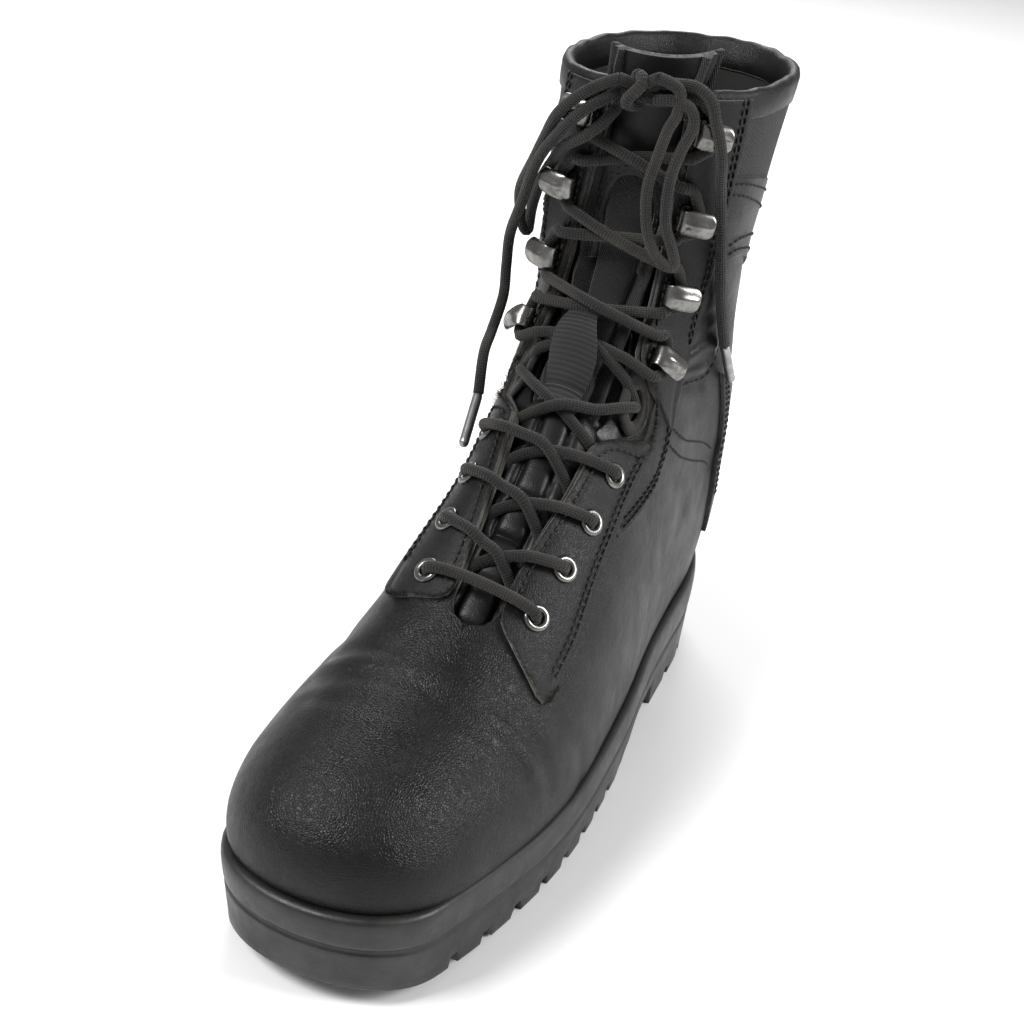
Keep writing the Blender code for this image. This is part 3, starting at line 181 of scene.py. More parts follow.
# %% [markdown]
# Places on the leather are given as a shoemaker measures them with a tape: so far along the ridge from
# the toe, and so far across from the middle of the throat, plus towards the outer side. `spots` turns
# such places into points, any height over the leather.


# %% Tape measures on the form
def section_at(along):
    """Section number at a distance along the ridge; it runs on above the collar."""
    real = np.asarray(along, float) * STRETCH
    inside = np.interp(real, RIDGE_RUN, FORM_AT)
    return inside + np.maximum(real - RIDGE_RUN[-1], 0.0) / END_STEP


def along_at(number):
    number = np.asarray(number, float)
    return (np.interp(number, FORM_AT, RIDGE_RUN) + np.maximum(number - LAST, 0.0) * END_STEP) / STRETCH


def look_up(values, number, share, side):
    k = np.clip(number * FINE_STEPS, 0, len(FORM_AT) - 1.000001)
    c = np.clip(share * FINE_ACROSS, 0, FINE_ACROSS - 1e-6)
    i, j = k.astype(int), c.astype(int)
    f, g = (k - i)[..., None], (c - j)[..., None]
    low = values[side, i, j] * (1 - g) + values[side, i, j + 1] * g
    high = values[side, i + 1, j] * (1 - g) + values[side, i + 1, j + 1] * g
    return low * (1 - f) + high * f


def share_spots(number, share, side, up=0.0):
    number, share, side, up = np.broadcast_arrays(*(np.asarray(v, float) for v in (number, share, side, up)))
    side = side.astype(int)
    spot = look_up(FORM, number, share, side)
    below = look_up(FORM, np.full(number.shape, LAST - 0.5), share, side)
    top = look_up(FORM, np.full(number.shape, float(LAST)), share, side)
    spot = spot + (top - below) * 2 * np.maximum(number - LAST, 0.0)[..., None]
    facing = look_up(FACING, number, share, side)
    facing /= np.linalg.norm(facing, axis=-1, keepdims=True)
    return spot + facing * up[..., None]


def girth_at(number, side):
    number = np.asarray(number, float)
    return np.where(np.asarray(side) == 0, np.interp(number, FORM_AT, GIRTH[0]), np.interp(number, FORM_AT, GIRTH[1]))


THROAT_MIDDLE = ((0.110, 0.0090), (0.136, 0.0080), (0.200, 0.0050), (0.247, 0.0030), (0.320, 0.0060), (0.360, 0.0065))


def read(table, along, column=1):
    return np.interp(along, [row[0] for row in table], [row[column] for row in table])


def spots(along, across, up=0.0):
    """Points at a distance along the ridge, across from the throat's middle and over the leather."""
    along, across, up = np.broadcast_arrays(*(np.asarray(v, float) for v in (along, across, up)))
    number = section_at(along)
    from_ridge = across + read(THROAT_MIDDLE, along)
    side = (from_ridge < 0).astype(int)
    share = np.abs(from_ridge) / girth_at(number, side)
    return share_spots(number, share, side, up)


# %% [markdown]
# ## Camera
# The photograph looks down on the boot's outer front from about the height of a table. The camera
# stands at the place that was worked out from the photo, and is turned and widened just enough to take
# in the whole boot.

# %% Place the camera
CAMERA_SPOT = Vector((0.1831, -0.5832, 0.4023))
CAMERA_UP = Vector((-0.2303, 0.3458, 0.9096))
AIM = Vector((-0.007, -0.101, 0.1085))
LENS = 56.5


def place_camera():
    data = bpy.data.cameras.new("camera")
    data.lens = LENS
    data.clip_start = 0.05
    camera = bpy.data.objects.new("camera", data)
    bpy.context.scene.collection.objects.link(camera)
    back = (CAMERA_SPOT - AIM).normalized()
    right = CAMERA_UP.cross(back).normalized()
    up = back.cross(right)
    turn = Matrix((right, up, back)).transposed().to_4x4()
    camera.matrix_world = Matrix.Translation(CAMERA_SPOT) @ turn
    bpy.context.scene.camera = camera
    return camera


camera = place_camera()
print("camera", round((CAMERA_SPOT - AIM).length, 3), "m from the middle of the boot")


# %% [markdown]
# ## Finishes
# A finish is a small node tree: colour that varies, roughness that varies, and height turned into bump.
# All patterns are measured in metres, so that grain, weave and braid come out at their real scale.


# %% Helpers for node trees
def new_look(name, color, roughness, metallic=0.0, specular=0.5):
    look = bpy.data.materials.new(name)
    look.use_nodes = True
    shader = look.node_tree.nodes["Principled BSDF"]
    shader.inputs["Base Color"].default_value = (*color, 1.0)
    shader.inputs["Roughness"].default_value = roughness
    shader.inputs["Metallic"].default_value = metallic
    shader.inputs["Specular IOR Level"].default_value = specular
    return look


def node(look, kind, **settings):
    made = look.node_tree.nodes.new(kind)
    for name, value in settings.items():
        setattr(made, name, value)
    return made


def join(look, out, into):
    look.node_tree.links.new(out, into)


def shader_of(look):
    return look.node_tree.nodes["Principled BSDF"]


def place_of(look, kind="Object"):
    return node(look, "ShaderNodeTexCoord").outputs[kind]


def noise(look, size, detail=3.0, roughness=0.55, place=None, stretch=None, distortion=0.0):
    """Noise whose blotches are about this size in metres."""
    made = node(look, "ShaderNodeTexNoise")
    made.inputs["Scale"].default_value = 1.0 / size
    made.inputs["Detail"].default_value = detail
    made.inputs["Roughness"].default_value = roughness
    made.inputs["Distortion"].default_value = distortion
    place = place or place_of(look)
    if stretch:
        mapping = node(look, "ShaderNodeMapping")
        mapping.inputs["Scale"].default_value = stretch
        join(look, place, mapping.inputs["Vector"])
        place = mapping.outputs["Vector"]
    join(look, place, made.inputs["Vector"])
    return made.outputs["Fac"]


def cells(look, size, feature="DISTANCE_TO_EDGE", place=None):
    made = node(look, "ShaderNodeTexVoronoi", feature=feature)
    made.inputs["Scale"].default_value = 1.0 / size
    join(look, place or place_of(look), made.inputs["Vector"])
    return made.outputs["Distance"]


def sums(look, operation, a, b=None, c=None):
    made = node(look, "ShaderNodeMath", operation=operation)
    for socket, value in zip(made.inputs, (a, b, c)):
        if value is None:
            continue
        if isinstance(value, (int, float)):
            socket.default_value = value
        else:
            join(look, value, socket)
    return made.outputs[0]


def spread(look, value, low, high, out_low=0.0, out_high=1.0):
    """Maps a value from one range to another and clamps it."""
    made = node(look, "ShaderNodeMapRange")
    join(look, value, made.inputs["Value"])
    for name, number in (("From Min", low), ("From Max", high), ("To Min", out_low), ("To Max", out_high)):
        made.inputs[name].default_value = number
    return made.outputs["Result"]


def mix(look, share, first, second):
    made = node(look, "ShaderNodeMix", data_type="RGBA")
    join(look, share, made.inputs["Factor"])
    for socket, value in ((made.inputs["A"], first), (made.inputs["B"], second)):
        if isinstance(value, tuple):
            socket.default_value = (*value, 1.0)
        else:
            join(look, value, socket)
    return made.outputs["Result"]


def bump(look, height, distance, strength=1.0, under=None):
    made = node(look, "ShaderNodeBump")
    made.inputs["Distance"].default_value = distance
    made.inputs["Strength"].default_value = strength
    join(look, height, made.inputs["Height"])
    if under:
        join(look, under, made.inputs["Normal"])
    return made.outputs["Normal"]


# %% [markdown]
# Worn boot leather is nearly black with a dull satin shine. Its grain is a net of fine pebbles, its
# creases have rubbed lighter, and dust sits in the hollows. Bump makes the grain, and two noises make
# the rubbed places and the dust.


# %% Leather
def leather(name, tone, worn, roughness, grain=0.0009, depth=0.00016, crinkle=0.0, coat=0.0):
    look = new_look(name, tone, roughness, specular=0.25)
    place = place_of(look)
    warp = noise(look, 0.004, 2.0, place=place)
    rubbed = spread(look, noise(look, 0.022, 5.0, 0.65, place), 0.50, 0.78)
    fine = noise(look, 0.0016, 4.0, 0.7, place)
    rubbed = sums(look, "MULTIPLY", rubbed, spread(look, fine, 0.35, 0.75))
    dust = spread(look, noise(look, 0.0011, 3.0, 0.8, place), 0.62, 0.82, 0.0, 0.16)
    dust = sums(look, "MULTIPLY", dust, spread(look, noise(look, 0.05, 2.0, 0.5, place), 0.45, 0.7))
    color = mix(look, rubbed, tone, worn)
    color = mix(look, dust, color, (0.040, 0.037, 0.032))
    join(look, color, shader_of(look).inputs["Base Color"])
    gloss = spread(look, noise(look, 0.012, 4.0, 0.6, place), 0.3, 0.75, roughness - 0.07, roughness + 0.10)
    join(look, gloss, shader_of(look).inputs["Roughness"])
    pebbles = spread(look, cells(look, grain, place=place), 0.0, 0.30)
    height = sums(look, "ADD", sums(look, "MULTIPLY", pebbles, 0.55), sums(look, "MULTIPLY", warp, 1.6))
    normal = bump(look, height, depth)
    if crinkle:
        folds = noise(look, 0.006, 4.0, 0.6, place, (1.0, 1.0, 0.45), 1.2)
        normal = bump(look, folds, crinkle, 1.0, normal)
    join(look, normal, shader_of(look).inputs["Normal"])
    shader_of(look).inputs["Coat Weight"].default_value = coat
    shader_of(look).inputs["Coat Roughness"].default_value = 0.35
    return look


LEATHER = leather("leather_quarter", (0.0038, 0.0038, 0.0040), (0.017, 0.0165, 0.0155), 0.40, 0.0009, 0.00015)
FACING_LEATHER = leather("leather_facing", (0.0042, 0.0042, 0.0042), (0.020, 0.019, 0.018), 0.42, 0.0008, 0.00012)
SOFT_LEATHER = leather("leather_soft", (0.0050, 0.0050, 0.0052), (0.021, 0.020, 0.019), 0.37, 0.0011, 0.00006, 0.0002)
TONGUE_LEATHER = leather("leather_tongue", (0.0055, 0.0055, 0.0058), (0.023, 0.022, 0.022), 0.38, 0.0010, 0.00006, 0.0001)
LINING = leather("lining", (0.016, 0.0155, 0.015), (0.030, 0.028, 0.026), 0.85, 0.0007, 0.00010)


# %% [markdown]
# A cut leather edge isn't dyed through. It shows a felt of grey-brown fibres, rough to the touch, and
# catches more light than the face. The same finish serves every raw edge on the boot.


# %% Raw edges
def raw_edge(name, dark, pale):
    look = new_look(name, dark, 0.95, specular=0.2)
    place = place_of(look)
    fibres = noise(look, 0.0007, 5.0, 0.75, place)
    worn = noise(look, 0.009, 3.0, 0.6, place)
    share = spread(look, sums(look, "ADD", fibres, worn), 0.80, 1.30)
    join(look, mix(look, share, dark, pale), shader_of(look).inputs["Base Color"])
    join(look, bump(look, fibres, 0.0004), shader_of(look).inputs["Normal"])
    shader_of(look).inputs["Sheen Weight"].default_value = 0.25
    return look


RAW_EDGE = raw_edge("raw_edge", (0.012, 0.011, 0.010), (0.075, 0.067, 0.056))
WORN_EDGE = raw_edge("worn_edge", (0.030, 0.028, 0.024), (0.165, 0.153, 0.130))
TAB_EDGE = raw_edge("tab_edge", (0.008, 0.0075, 0.0070), (0.042, 0.037, 0.031))


# %% [markdown]
# The cloth on the shaft is a coarse nylon twill, and the keeper strap is ribbed webbing. Both are drawn
# from the surface's own coordinates, which run in metres along and across the piece, so that the
# threads follow it round the leg.


# %% Cloth and webbing
def wave(look, line, pitch):
    """A rounded wave from 0 to 1 along a line in metres."""
    turned = sums(look, "MULTIPLY", line, 2 * math.pi / pitch)
    return sums(look, "MULTIPLY_ADD", sums(look, "SINE", turned), 0.5, 0.5)


def flat_lines(look):
    parts = node(look, "ShaderNodeSeparateXYZ")
    join(look, place_of(look, "UV"), parts.inputs["Vector"])
    return parts.outputs["X"], parts.outputs["Y"]


def cloth(name, tone, worn, pitch, rib, depth, roughness=0.85):
    look = new_look(name, tone, roughness, specular=0.35)
    u, v = flat_lines(look)
    slant = sums(look, "ADD", u, sums(look, "MULTIPLY", v, 0.7))
    ribs = wave(look, slant, rib)
    threads = wave(look, v, pitch)
    height = sums(look, "ADD", ribs, sums(look, "MULTIPLY", threads, 0.6))
    fuzz = noise(look, 0.0008, 4.0, 0.7)
    join(look, bump(look, sums(look, "ADD", height, fuzz), depth), shader_of(look).inputs["Normal"])
    share = spread(look, sums(look, "ADD", height, noise(look, 0.015, 3.0)), 0.9, 2.2)
    join(look, mix(look, share, tone, worn), shader_of(look).inputs["Base Color"])
    shader_of(look).inputs["Sheen Weight"].default_value = 0.15
    return look


SHAFT_CLOTH = cloth("shaft_cloth", (0.0040, 0.0040, 0.0040), (0.014, 0.014, 0.014), 0.0009, 0.0016, 0.00030)
CANVAS = cloth("tongue_canvas", (0.0065, 0.0065, 0.0065), (0.020, 0.0195, 0.019), 0.0007, 0.0010, 0.00022, 0.92)
WEBBING = cloth("keeper_webbing", (0.0070, 0.0070, 0.0070), (0.026, 0.025, 0.024), 0.0020, 0.0400, 0.00040, 0.8)


# %% [markdown]
# A round boot lace is braided: two sets of strands run round it in opposite directions and pass over
# and under each other. Two slanted waves multiplied give the diamond relief of such a braid, on tubes
# whose coordinates run along the lace and round it.


# %% Lace, thread, steel and rubber
def braid(name, tone, worn):
    look = new_look(name, tone, 0.88, specular=0.3)
    u, v = flat_lines(look)
    strands, pitch = 16.0, 0.0011
    turn = sums(look, "MULTIPLY", v, strands)
    travel = sums(look, "MULTIPLY", u, 1.0 / pitch)
    one = sums(look, "SINE", sums(look, "MULTIPLY", sums(look, "ADD", turn, travel), math.pi))
    two = sums(look, "SINE", sums(look, "MULTIPLY", sums(look, "SUBTRACT", turn, travel), math.pi))
    height = sums(look, "MULTIPLY_ADD", sums(look, "MULTIPLY", one, two), 0.5, 0.5)
    fuzz = noise(look, 0.0006, 4.0, 0.75)
    relief = sums(look, "ADD", height, sums(look, "MULTIPLY", fuzz, 0.8))
    join(look, bump(look, relief, 0.00040), shader_of(look).inputs["Normal"])
    dirt = spread(look, noise(look, 0.03, 3.0), 0.5, 0.8, 0.0, 0.35)
    share = spread(look, relief, 0.4, 1.5)
    color = mix(look, dirt, mix(look, share, tone, worn), (0.085, 0.075, 0.062))
    join(look, color, shader_of(look).inputs["Base Color"])
    shader_of(look).inputs["Sheen Weight"].default_value = 0.12
    return look


def steel(name, tone, patina, roughness):
    look = new_look(name, tone, roughness, 1.0)
    place = place_of(look)
    stains = spread(look, noise(look, 0.0050, 5.0, 0.65, place), 0.40, 0.75)
    join(look, mix(look, stains, tone, patina), shader_of(look).inputs["Base Color"])
    rough = spread(look, noise(look, 0.0025, 4.0, 0.7, place), 0.3, 0.8, roughness - 0.08, roughness + 0.15)
    join(look, rough, shader_of(look).inputs["Roughness"])
    join(look, bump(look, noise(look, 0.0016, 3.0, 0.6, place), 0.00004), shader_of(look).inputs["Normal"])
    return look


def rubber(name, tone, worn):
    look = new_look(name, tone, 0.42)
    place = place_of(look)
    dust = spread(look, noise(look, 0.018, 5.0, 0.7, place), 0.45, 0.80)
    join(look, mix(look, dust, tone, worn), shader_of(look).inputs["Base Color"])
    gloss = spread(look, noise(look, 0.010, 5.0, 0.7, place), 0.3, 0.8, 0.34, 0.62)
    join(look, gloss, shader_of(look).inputs["Roughness"])
    join(look, bump(look, noise(look, 0.0014, 4.0, 0.7, place), 0.00012), shader_of(look).inputs["Normal"])
    return look


LACE = braid("lace_braid", (0.0045, 0.0045, 0.0045), (0.021, 0.0198, 0.0182))
THREAD = new_look("thread", (0.0060, 0.0060, 0.0060), 0.7)
WORN_STEEL = steel("worn_steel_look", (0.23, 0.225, 0.215), (0.075, 0.072, 0.068), 0.27)
TIP_METAL = steel("tip_metal", (0.36, 0.36, 0.36), (0.20, 0.20, 0.20), 0.36)
RUBBER = rubber("sole_rubber_look", (0.0055, 0.0055, 0.0054), (0.021, 0.020, 0.018))
BOARD = raw_edge("insole_look", (0.040, 0.036, 0.030), (0.090, 0.080, 0.065))
print(len(bpy.data.materials), "finishes")


# %% [markdown]
# ## Turning grids into pieces
# Nearly every piece of a boot is cut from sheet: rows and columns of points make its face, and a
# thickness makes it solid. One helper makes such a piece, another a tube, and both write coordinates in
# metres for the weave.


# %% Sheet and tube helpers
def put(name, data, looks):
    made = bpy.data.objects.new(name, data)
    bpy.context.scene.collection.objects.link(made)
    for look in looks:
        data.materials.append(look)
    data.polygons.foreach_set("use_smooth", [True] * len(data.polygons))
    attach(made, "root")
    return made


def lengths_of(grid):
    """Distance along the rows and along the columns of a grid, in metres, for its flat coordinates."""
    down = np.linalg.norm(np.diff(grid, axis=0), axis=2).mean(axis=1)
    over = np.linalg.norm(np.diff(grid, axis=1), axis=2).mean(axis=0)
    return np.concatenate([[0], np.cumsum(down)]), np.concatenate([[0], np.cumsum(over)])


def mesh_from(name, points, faces, flat=None, looks_at=None, merge=2e-6):
    body = bmesh.new()
    corners = [body.verts.new(tuple(map(float, p))) for p in points]
    layer = body.loops.layers.uv.new("UVMap")
    for k, face in enumerate(faces):
        try:
            made = body.faces.new([corners[i] for i in face])
        except ValueError:
            continue
        if looks_at is not None:
            made.material_index = looks_at[k]
        if flat is not None:
            for loop, i in zip(made.loops, face):
                loop[layer].uv = flat[i]
    bmesh.ops.remove_doubles(body, verts=body.verts, dist=merge)
    bmesh.ops.recalc_face_normals(body, faces=body.faces)
    data = bpy.data.meshes.new(name)
    body.to_mesh(data)
    body.free()
    return data


def grid_faces(rows, columns, start=0):
    return [
        (start + r * columns + c, start + r * columns + c + 1, start + (r + 1) * columns + c + 1, start + (r + 1) * columns + c)
        for r in range(rows - 1)
        for c in range(columns - 1)
    ]


def slab(name, top, bottom, face_look, edge_look, round_edge=0.0004):
    """A closed piece of sheet between two grids, with its cut edge in another finish."""
    rows, columns = top.shape[:2]
    under = rows * columns
    points = np.concatenate([top.reshape(-1, 3), bottom.reshape(-1, 3)])
    faces = grid_faces(rows, columns) + [f[::-1] for f in grid_faces(rows, columns, under)]
    looks_at = [0] * len(faces)
    rim = [(0, c) for c in range(columns)] + [(r, columns - 1) for r in range(1, rows)]
    rim += [(rows - 1, c) for c in range(columns - 2, -1, -1)] + [(r, 0) for r in range(rows - 2, 0, -1)]
    ring = [r * columns + c for r, c in rim]
    for a, b in zip(ring, ring[1:] + ring[:1]):
        faces.append((b, a, under + a, under + b))
        looks_at.append(1)
    v, u = lengths_of(top)
    flat = np.stack(np.meshgrid(u, v), -1).reshape(-1, 2)
    flat = np.concatenate([flat, flat])
    made = put(name, mesh_from(name, points, faces, flat, looks_at), [face_look, edge_look])
    if round_edge:
        soft = made.modifiers.new("soft_edge", "BEVEL")
        soft.width = round_edge
        soft.segments = 2
        soft.limit_method = "ANGLE"
        soft.angle_limit = math.radians(50)
    return made


def smooth_line(stations, step):
    """Points at an even step on a smooth curve through given stations."""
    stations = np.asarray(stations, float)
    fine = np.array([blend(stations, at) for at in np.linspace(0, len(stations) - 1.0001, 24 * len(stations))])
    length = np.linalg.norm(np.diff(fine, axis=0), axis=1).sum()
    return even_points(fine, max(3, int(round(length / step)) + 1))


def frames_along(points):
    """Two directions square to a line at each of its points, without twist."""
    ahead = np.gradient(points, axis=0)
    ahead /= np.linalg.norm(ahead, axis=1, keepdims=True)
    first = np.cross(ahead[0], (0.31, 0.55, 0.77))
    sides = []
    for direction in ahead:
        first = first - direction * np.dot(first, direction)
        first /= np.linalg.norm(first)
        sides.append(first.copy())
    sides = np.array(sides)
    return sides, np.cross(ahead, sides)


def tube(name, points, radius, look, around=14, merge_with=None):
    """A closed round tube along a line; radius is one number or one for each point."""
    radius = np.broadcast_to(np.asarray(radius, float), (len(points),))
    sides, tops = frames_along(points)
    turn = np.linspace(0, 2 * math.pi, around, endpoint=False)
    rings = points[:, None] + radius[:, None, None] * (
        np.cos(turn)[None, :, None] * sides[:, None] + np.sin(turn)[None, :, None] * tops[:, None]
    )
    run = np.concatenate([[0], np.cumsum(np.linalg.norm(np.diff(points, axis=0), axis=1))])
    corners, faces, flat = rings.reshape(-1, 3), [], []
    body = bmesh.new()
    verts = [body.verts.new(tuple(map(float, p))) for p in corners]
    layer = body.loops.layers.uv.new("UVMap")
    for k in range(len(points) - 1):
        for j in range(around):
            nxt = (j + 1) % around
            made = body.faces.new([verts[i] for i in (k * around + j, k * around + nxt, (k + 1) * around + nxt, (k + 1) * around + j)])
            for loop, (a, b) in zip(made.loops, ((k, j), (k, j + 1), (k + 1, j + 1), (k + 1, j))):
                loop[layer].uv = (run[a], b / around)
    body.faces.new(verts[:around][::-1])
    body.faces.new(verts[-around:])
    bmesh.ops.recalc_face_normals(body, faces=body.faces)
    data = bpy.data.meshes.new(name)
    body.to_mesh(data)
    body.free()
    return put(name, data, [look])


# %% [markdown]
# ## Creases
# Leather that has been walked in folds where the foot bends: across the vamp behind the toes, round the
# front of the ankle, and in the soft panel behind it. Each crease is given as a line on the leather with
# a depth and a width, and every piece that lies there takes the same relief.

# %% Creases and seam grooves
# places along and across, then depth and half width; a minus depth is a ridge
CREASES = (
    (((0.088, -0.050), (0.092, -0.015), (0.090, 0.020), (0.084, 0.052)), 0.0010, 0.0050),
    (((0.101, -0.056), (0.104, -0.030), (0.103, -0.018)), 0.0009, 0.0040),
    (((0.100, 0.022), (0.099, 0.040), (0.092, 0.062)), 0.0010, 0.0042),
    (((0.078, -0.040), (0.080, 0.000), (0.076, 0.038)), 0.0006, 0.0045),
    (((0.095, -0.048), (0.098, -0.010), (0.097, 0.018), (0.090, 0.050)), -0.0007, 0.0040),
    (((0.112, 0.050), (0.118, 0.066), (0.117, 0.084)), 0.0008, 0.0050),
    (((0.112, -0.050), (0.118, -0.066), (0.117, -0.084)), 0.0008, 0.0050),
    (((0.232, 0.060), (0.240, 0.078), (0.246, 0.100)), 0.0011, 0.0060),
    (((0.232, -0.060), (0.240, -0.078), (0.246, -0.100)), 0.0011, 0.0060),
    (((0.215, 0.062), (0.222, 0.085), (0.226, 0.110)), 0.0007, 0.0070),
    (((0.262, 0.052), (0.270, 0.060), (0.276, 0.069)), 0.0012, 0.0026),
    (((0.268, 0.050), (0.277, 0.058), (0.284, 0.066)), 0.0011, 0.0024),
    (((0.258, 0.054), (0.264, 0.064), (0.268, 0.072)), 0.0010, 0.0024),
    (((0.276, 0.049), (0.283, 0.056), (0.289, 0.063)), 0.0009, 0.0026),
    (((0.265, 0.051), (0.2735, 0.059), (0.280, 0.068)), -0.0008, 0.0020),
    (((0.262, -0.052), (0.270, -0.060), (0.276, -0.069)), 0.0012, 0.0026),
    (((0.268, -0.050), (0.277, -0.058), (0.284, -0.066)), 0.0011, 0.0024),
    (((0.276, -0.049), (0.283, -0.056), (0.289, -0.063)), 0.0009, 0.0026),
    (((0.250, 0.080), (0.258, 0.100), (0.262, 0.118)), 0.0007, 0.0060),
    (((0.250, -0.080), (0.258, -0.100), (0.262, -0.118)), 0.0007, 0.0060),
    (((0.302, 0.052), (0.309, 0.070), (0.312, 0.095)), 0.0006, 0.0045),
    (((0.302, -0.052), (0.309, -0.070), (0.312, -0.095)), 0.0006, 0.0045),
    (((0.325, 0.045), (0.322, 0.070), (0.326, 0.100)), 0.0009, 0.0080),
    (((0.325, -0.045), (0.322, -0.070), (0.326, -0.100)), 0.0009, 0.0080),
)


def distance_to(line, along, across):
    """Distance on the flat leather from each place to a line of stations."""
    nearest = np.full(along.shape, 1.0)
    for (a0, c0), (a1, c1) in zip(line, line[1:]):
        step = np.array((a1 - a0, c1 - c0))
        share = ((along - a0) * step[0] + (across - c0) * step[1]) / (step @ step)
        share = np.clip(share, 0.0, 1.0)
        nearest = np.minimum(nearest, np.hypot(along - a0 - share * step[0], across - c0 - share * step[1]))
    return nearest


def creased(along, across):
    """Height of the crease relief at places on the leather."""
    along, across = np.broadcast_arrays(np.asarray(along, float), np.asarray(across, float))
    total = np.zeros(along.shape)
    for line, depth, width in CREASES:
        curve, _ = smooth_line(line, 0.006)
        total -= depth * np.exp(-(distance_to(curve, along, across) / width) ** 2)
    return total


# %% [markdown]
# ## The lace
# The lace starts as a bar between the two lowest eyelets, comes out under the facings at the throat's
# edge, crosses the tongue and enters the next eyelets from above. It then runs through the ankle loops,
# under the keeper, and zigzags from hook to hook up to the bow. The free loops and ends, which hang by
# their own weight, are laid as tubes along given stations, and their lengths are printed.

# %% Lace sizes and places of eyelets and hooks
LACE_RADIUS = 0.0021
FACING_TOP = 0.0023
EYELET_FROM, EYELET_PITCH = 0.136, 0.0222
EYELET_SPREAD = (0.0207, 0.0284)
HOOK_FROM, HOOK_PITCH = 0.250, 0.0245
HOOK_SPREAD = (0.0310, 0.0215)
HOOK_WIDTH = 0.0100
LOOP_SPOT = (0.2335, 0.0300)
THROAT_HALF = (
    (0.1200, 0.0), (0.1215, 0.0040), (0.1245, 0.0072), (0.1290, 0.0086), (0.1400, 0.0088), (0.1600, 0.0104),
    (0.1800, 0.0132), (0.2000, 0.0158), (0.2070, 0.0170), (0.2150, 0.0245), (0.2230, 0.0335), (0.2290, 0.0370),
    (0.2350, 0.0375), (0.2400, 0.0350), (0.2430, 0.0290), (0.2460, 0.0225), (0.2700, 0.0195), (0.2950, 0.0165),
    (0.3200, 0.0140), (0.3800, 0.0135),
)


def eyelet_place(number):
    return EYELET_FROM + EYELET_PITCH * number, EYELET_SPREAD[0] + (EYELET_SPREAD[1] - EYELET_SPREAD[0]) * number / 3


def hook_place(number):
    return HOOK_FROM + HOOK_PITCH * number, HOOK_SPREAD[0] + (HOOK_SPREAD[1] - HOOK_SPREAD[0]) * number / 3


def throat(along):
    return float(read(THROAT_HALF, along))


# %% Route of the lacing on one side
ON_EYELET = FACING_TOP + 0.0010 + LACE_RADIUS
ON_FACING = FACING_TOP + LACE_RADIUS
UNDER_EDGE = -0.0046
LIFT = 0.0021


def eyelet_dive(number, side, coming_from):
    """Stations over an eyelet's rim and down through its hole, then back under the facing to the throat."""
    along, spread_out = eyelet_place(number)
    out = throat(along + 0.3 * EYELET_PITCH)
    return [
        (along + coming_from, side * (spread_out - 0.0052), ON_EYELET + 0.0003),
        (along + coming_from * 0.3, side * (spread_out - 0.0016), ON_EYELET - 0.0006),
        (along, side * (spread_out - 0.0002), 0.0008),
        (along + 0.0006, side * (spread_out - 0.0006), -0.0032),
        (along + 0.0022, side * (spread_out - 0.0040), -0.0050),
        (along + 0.0048, side * (out + 0.0016), -0.0050),
    ]


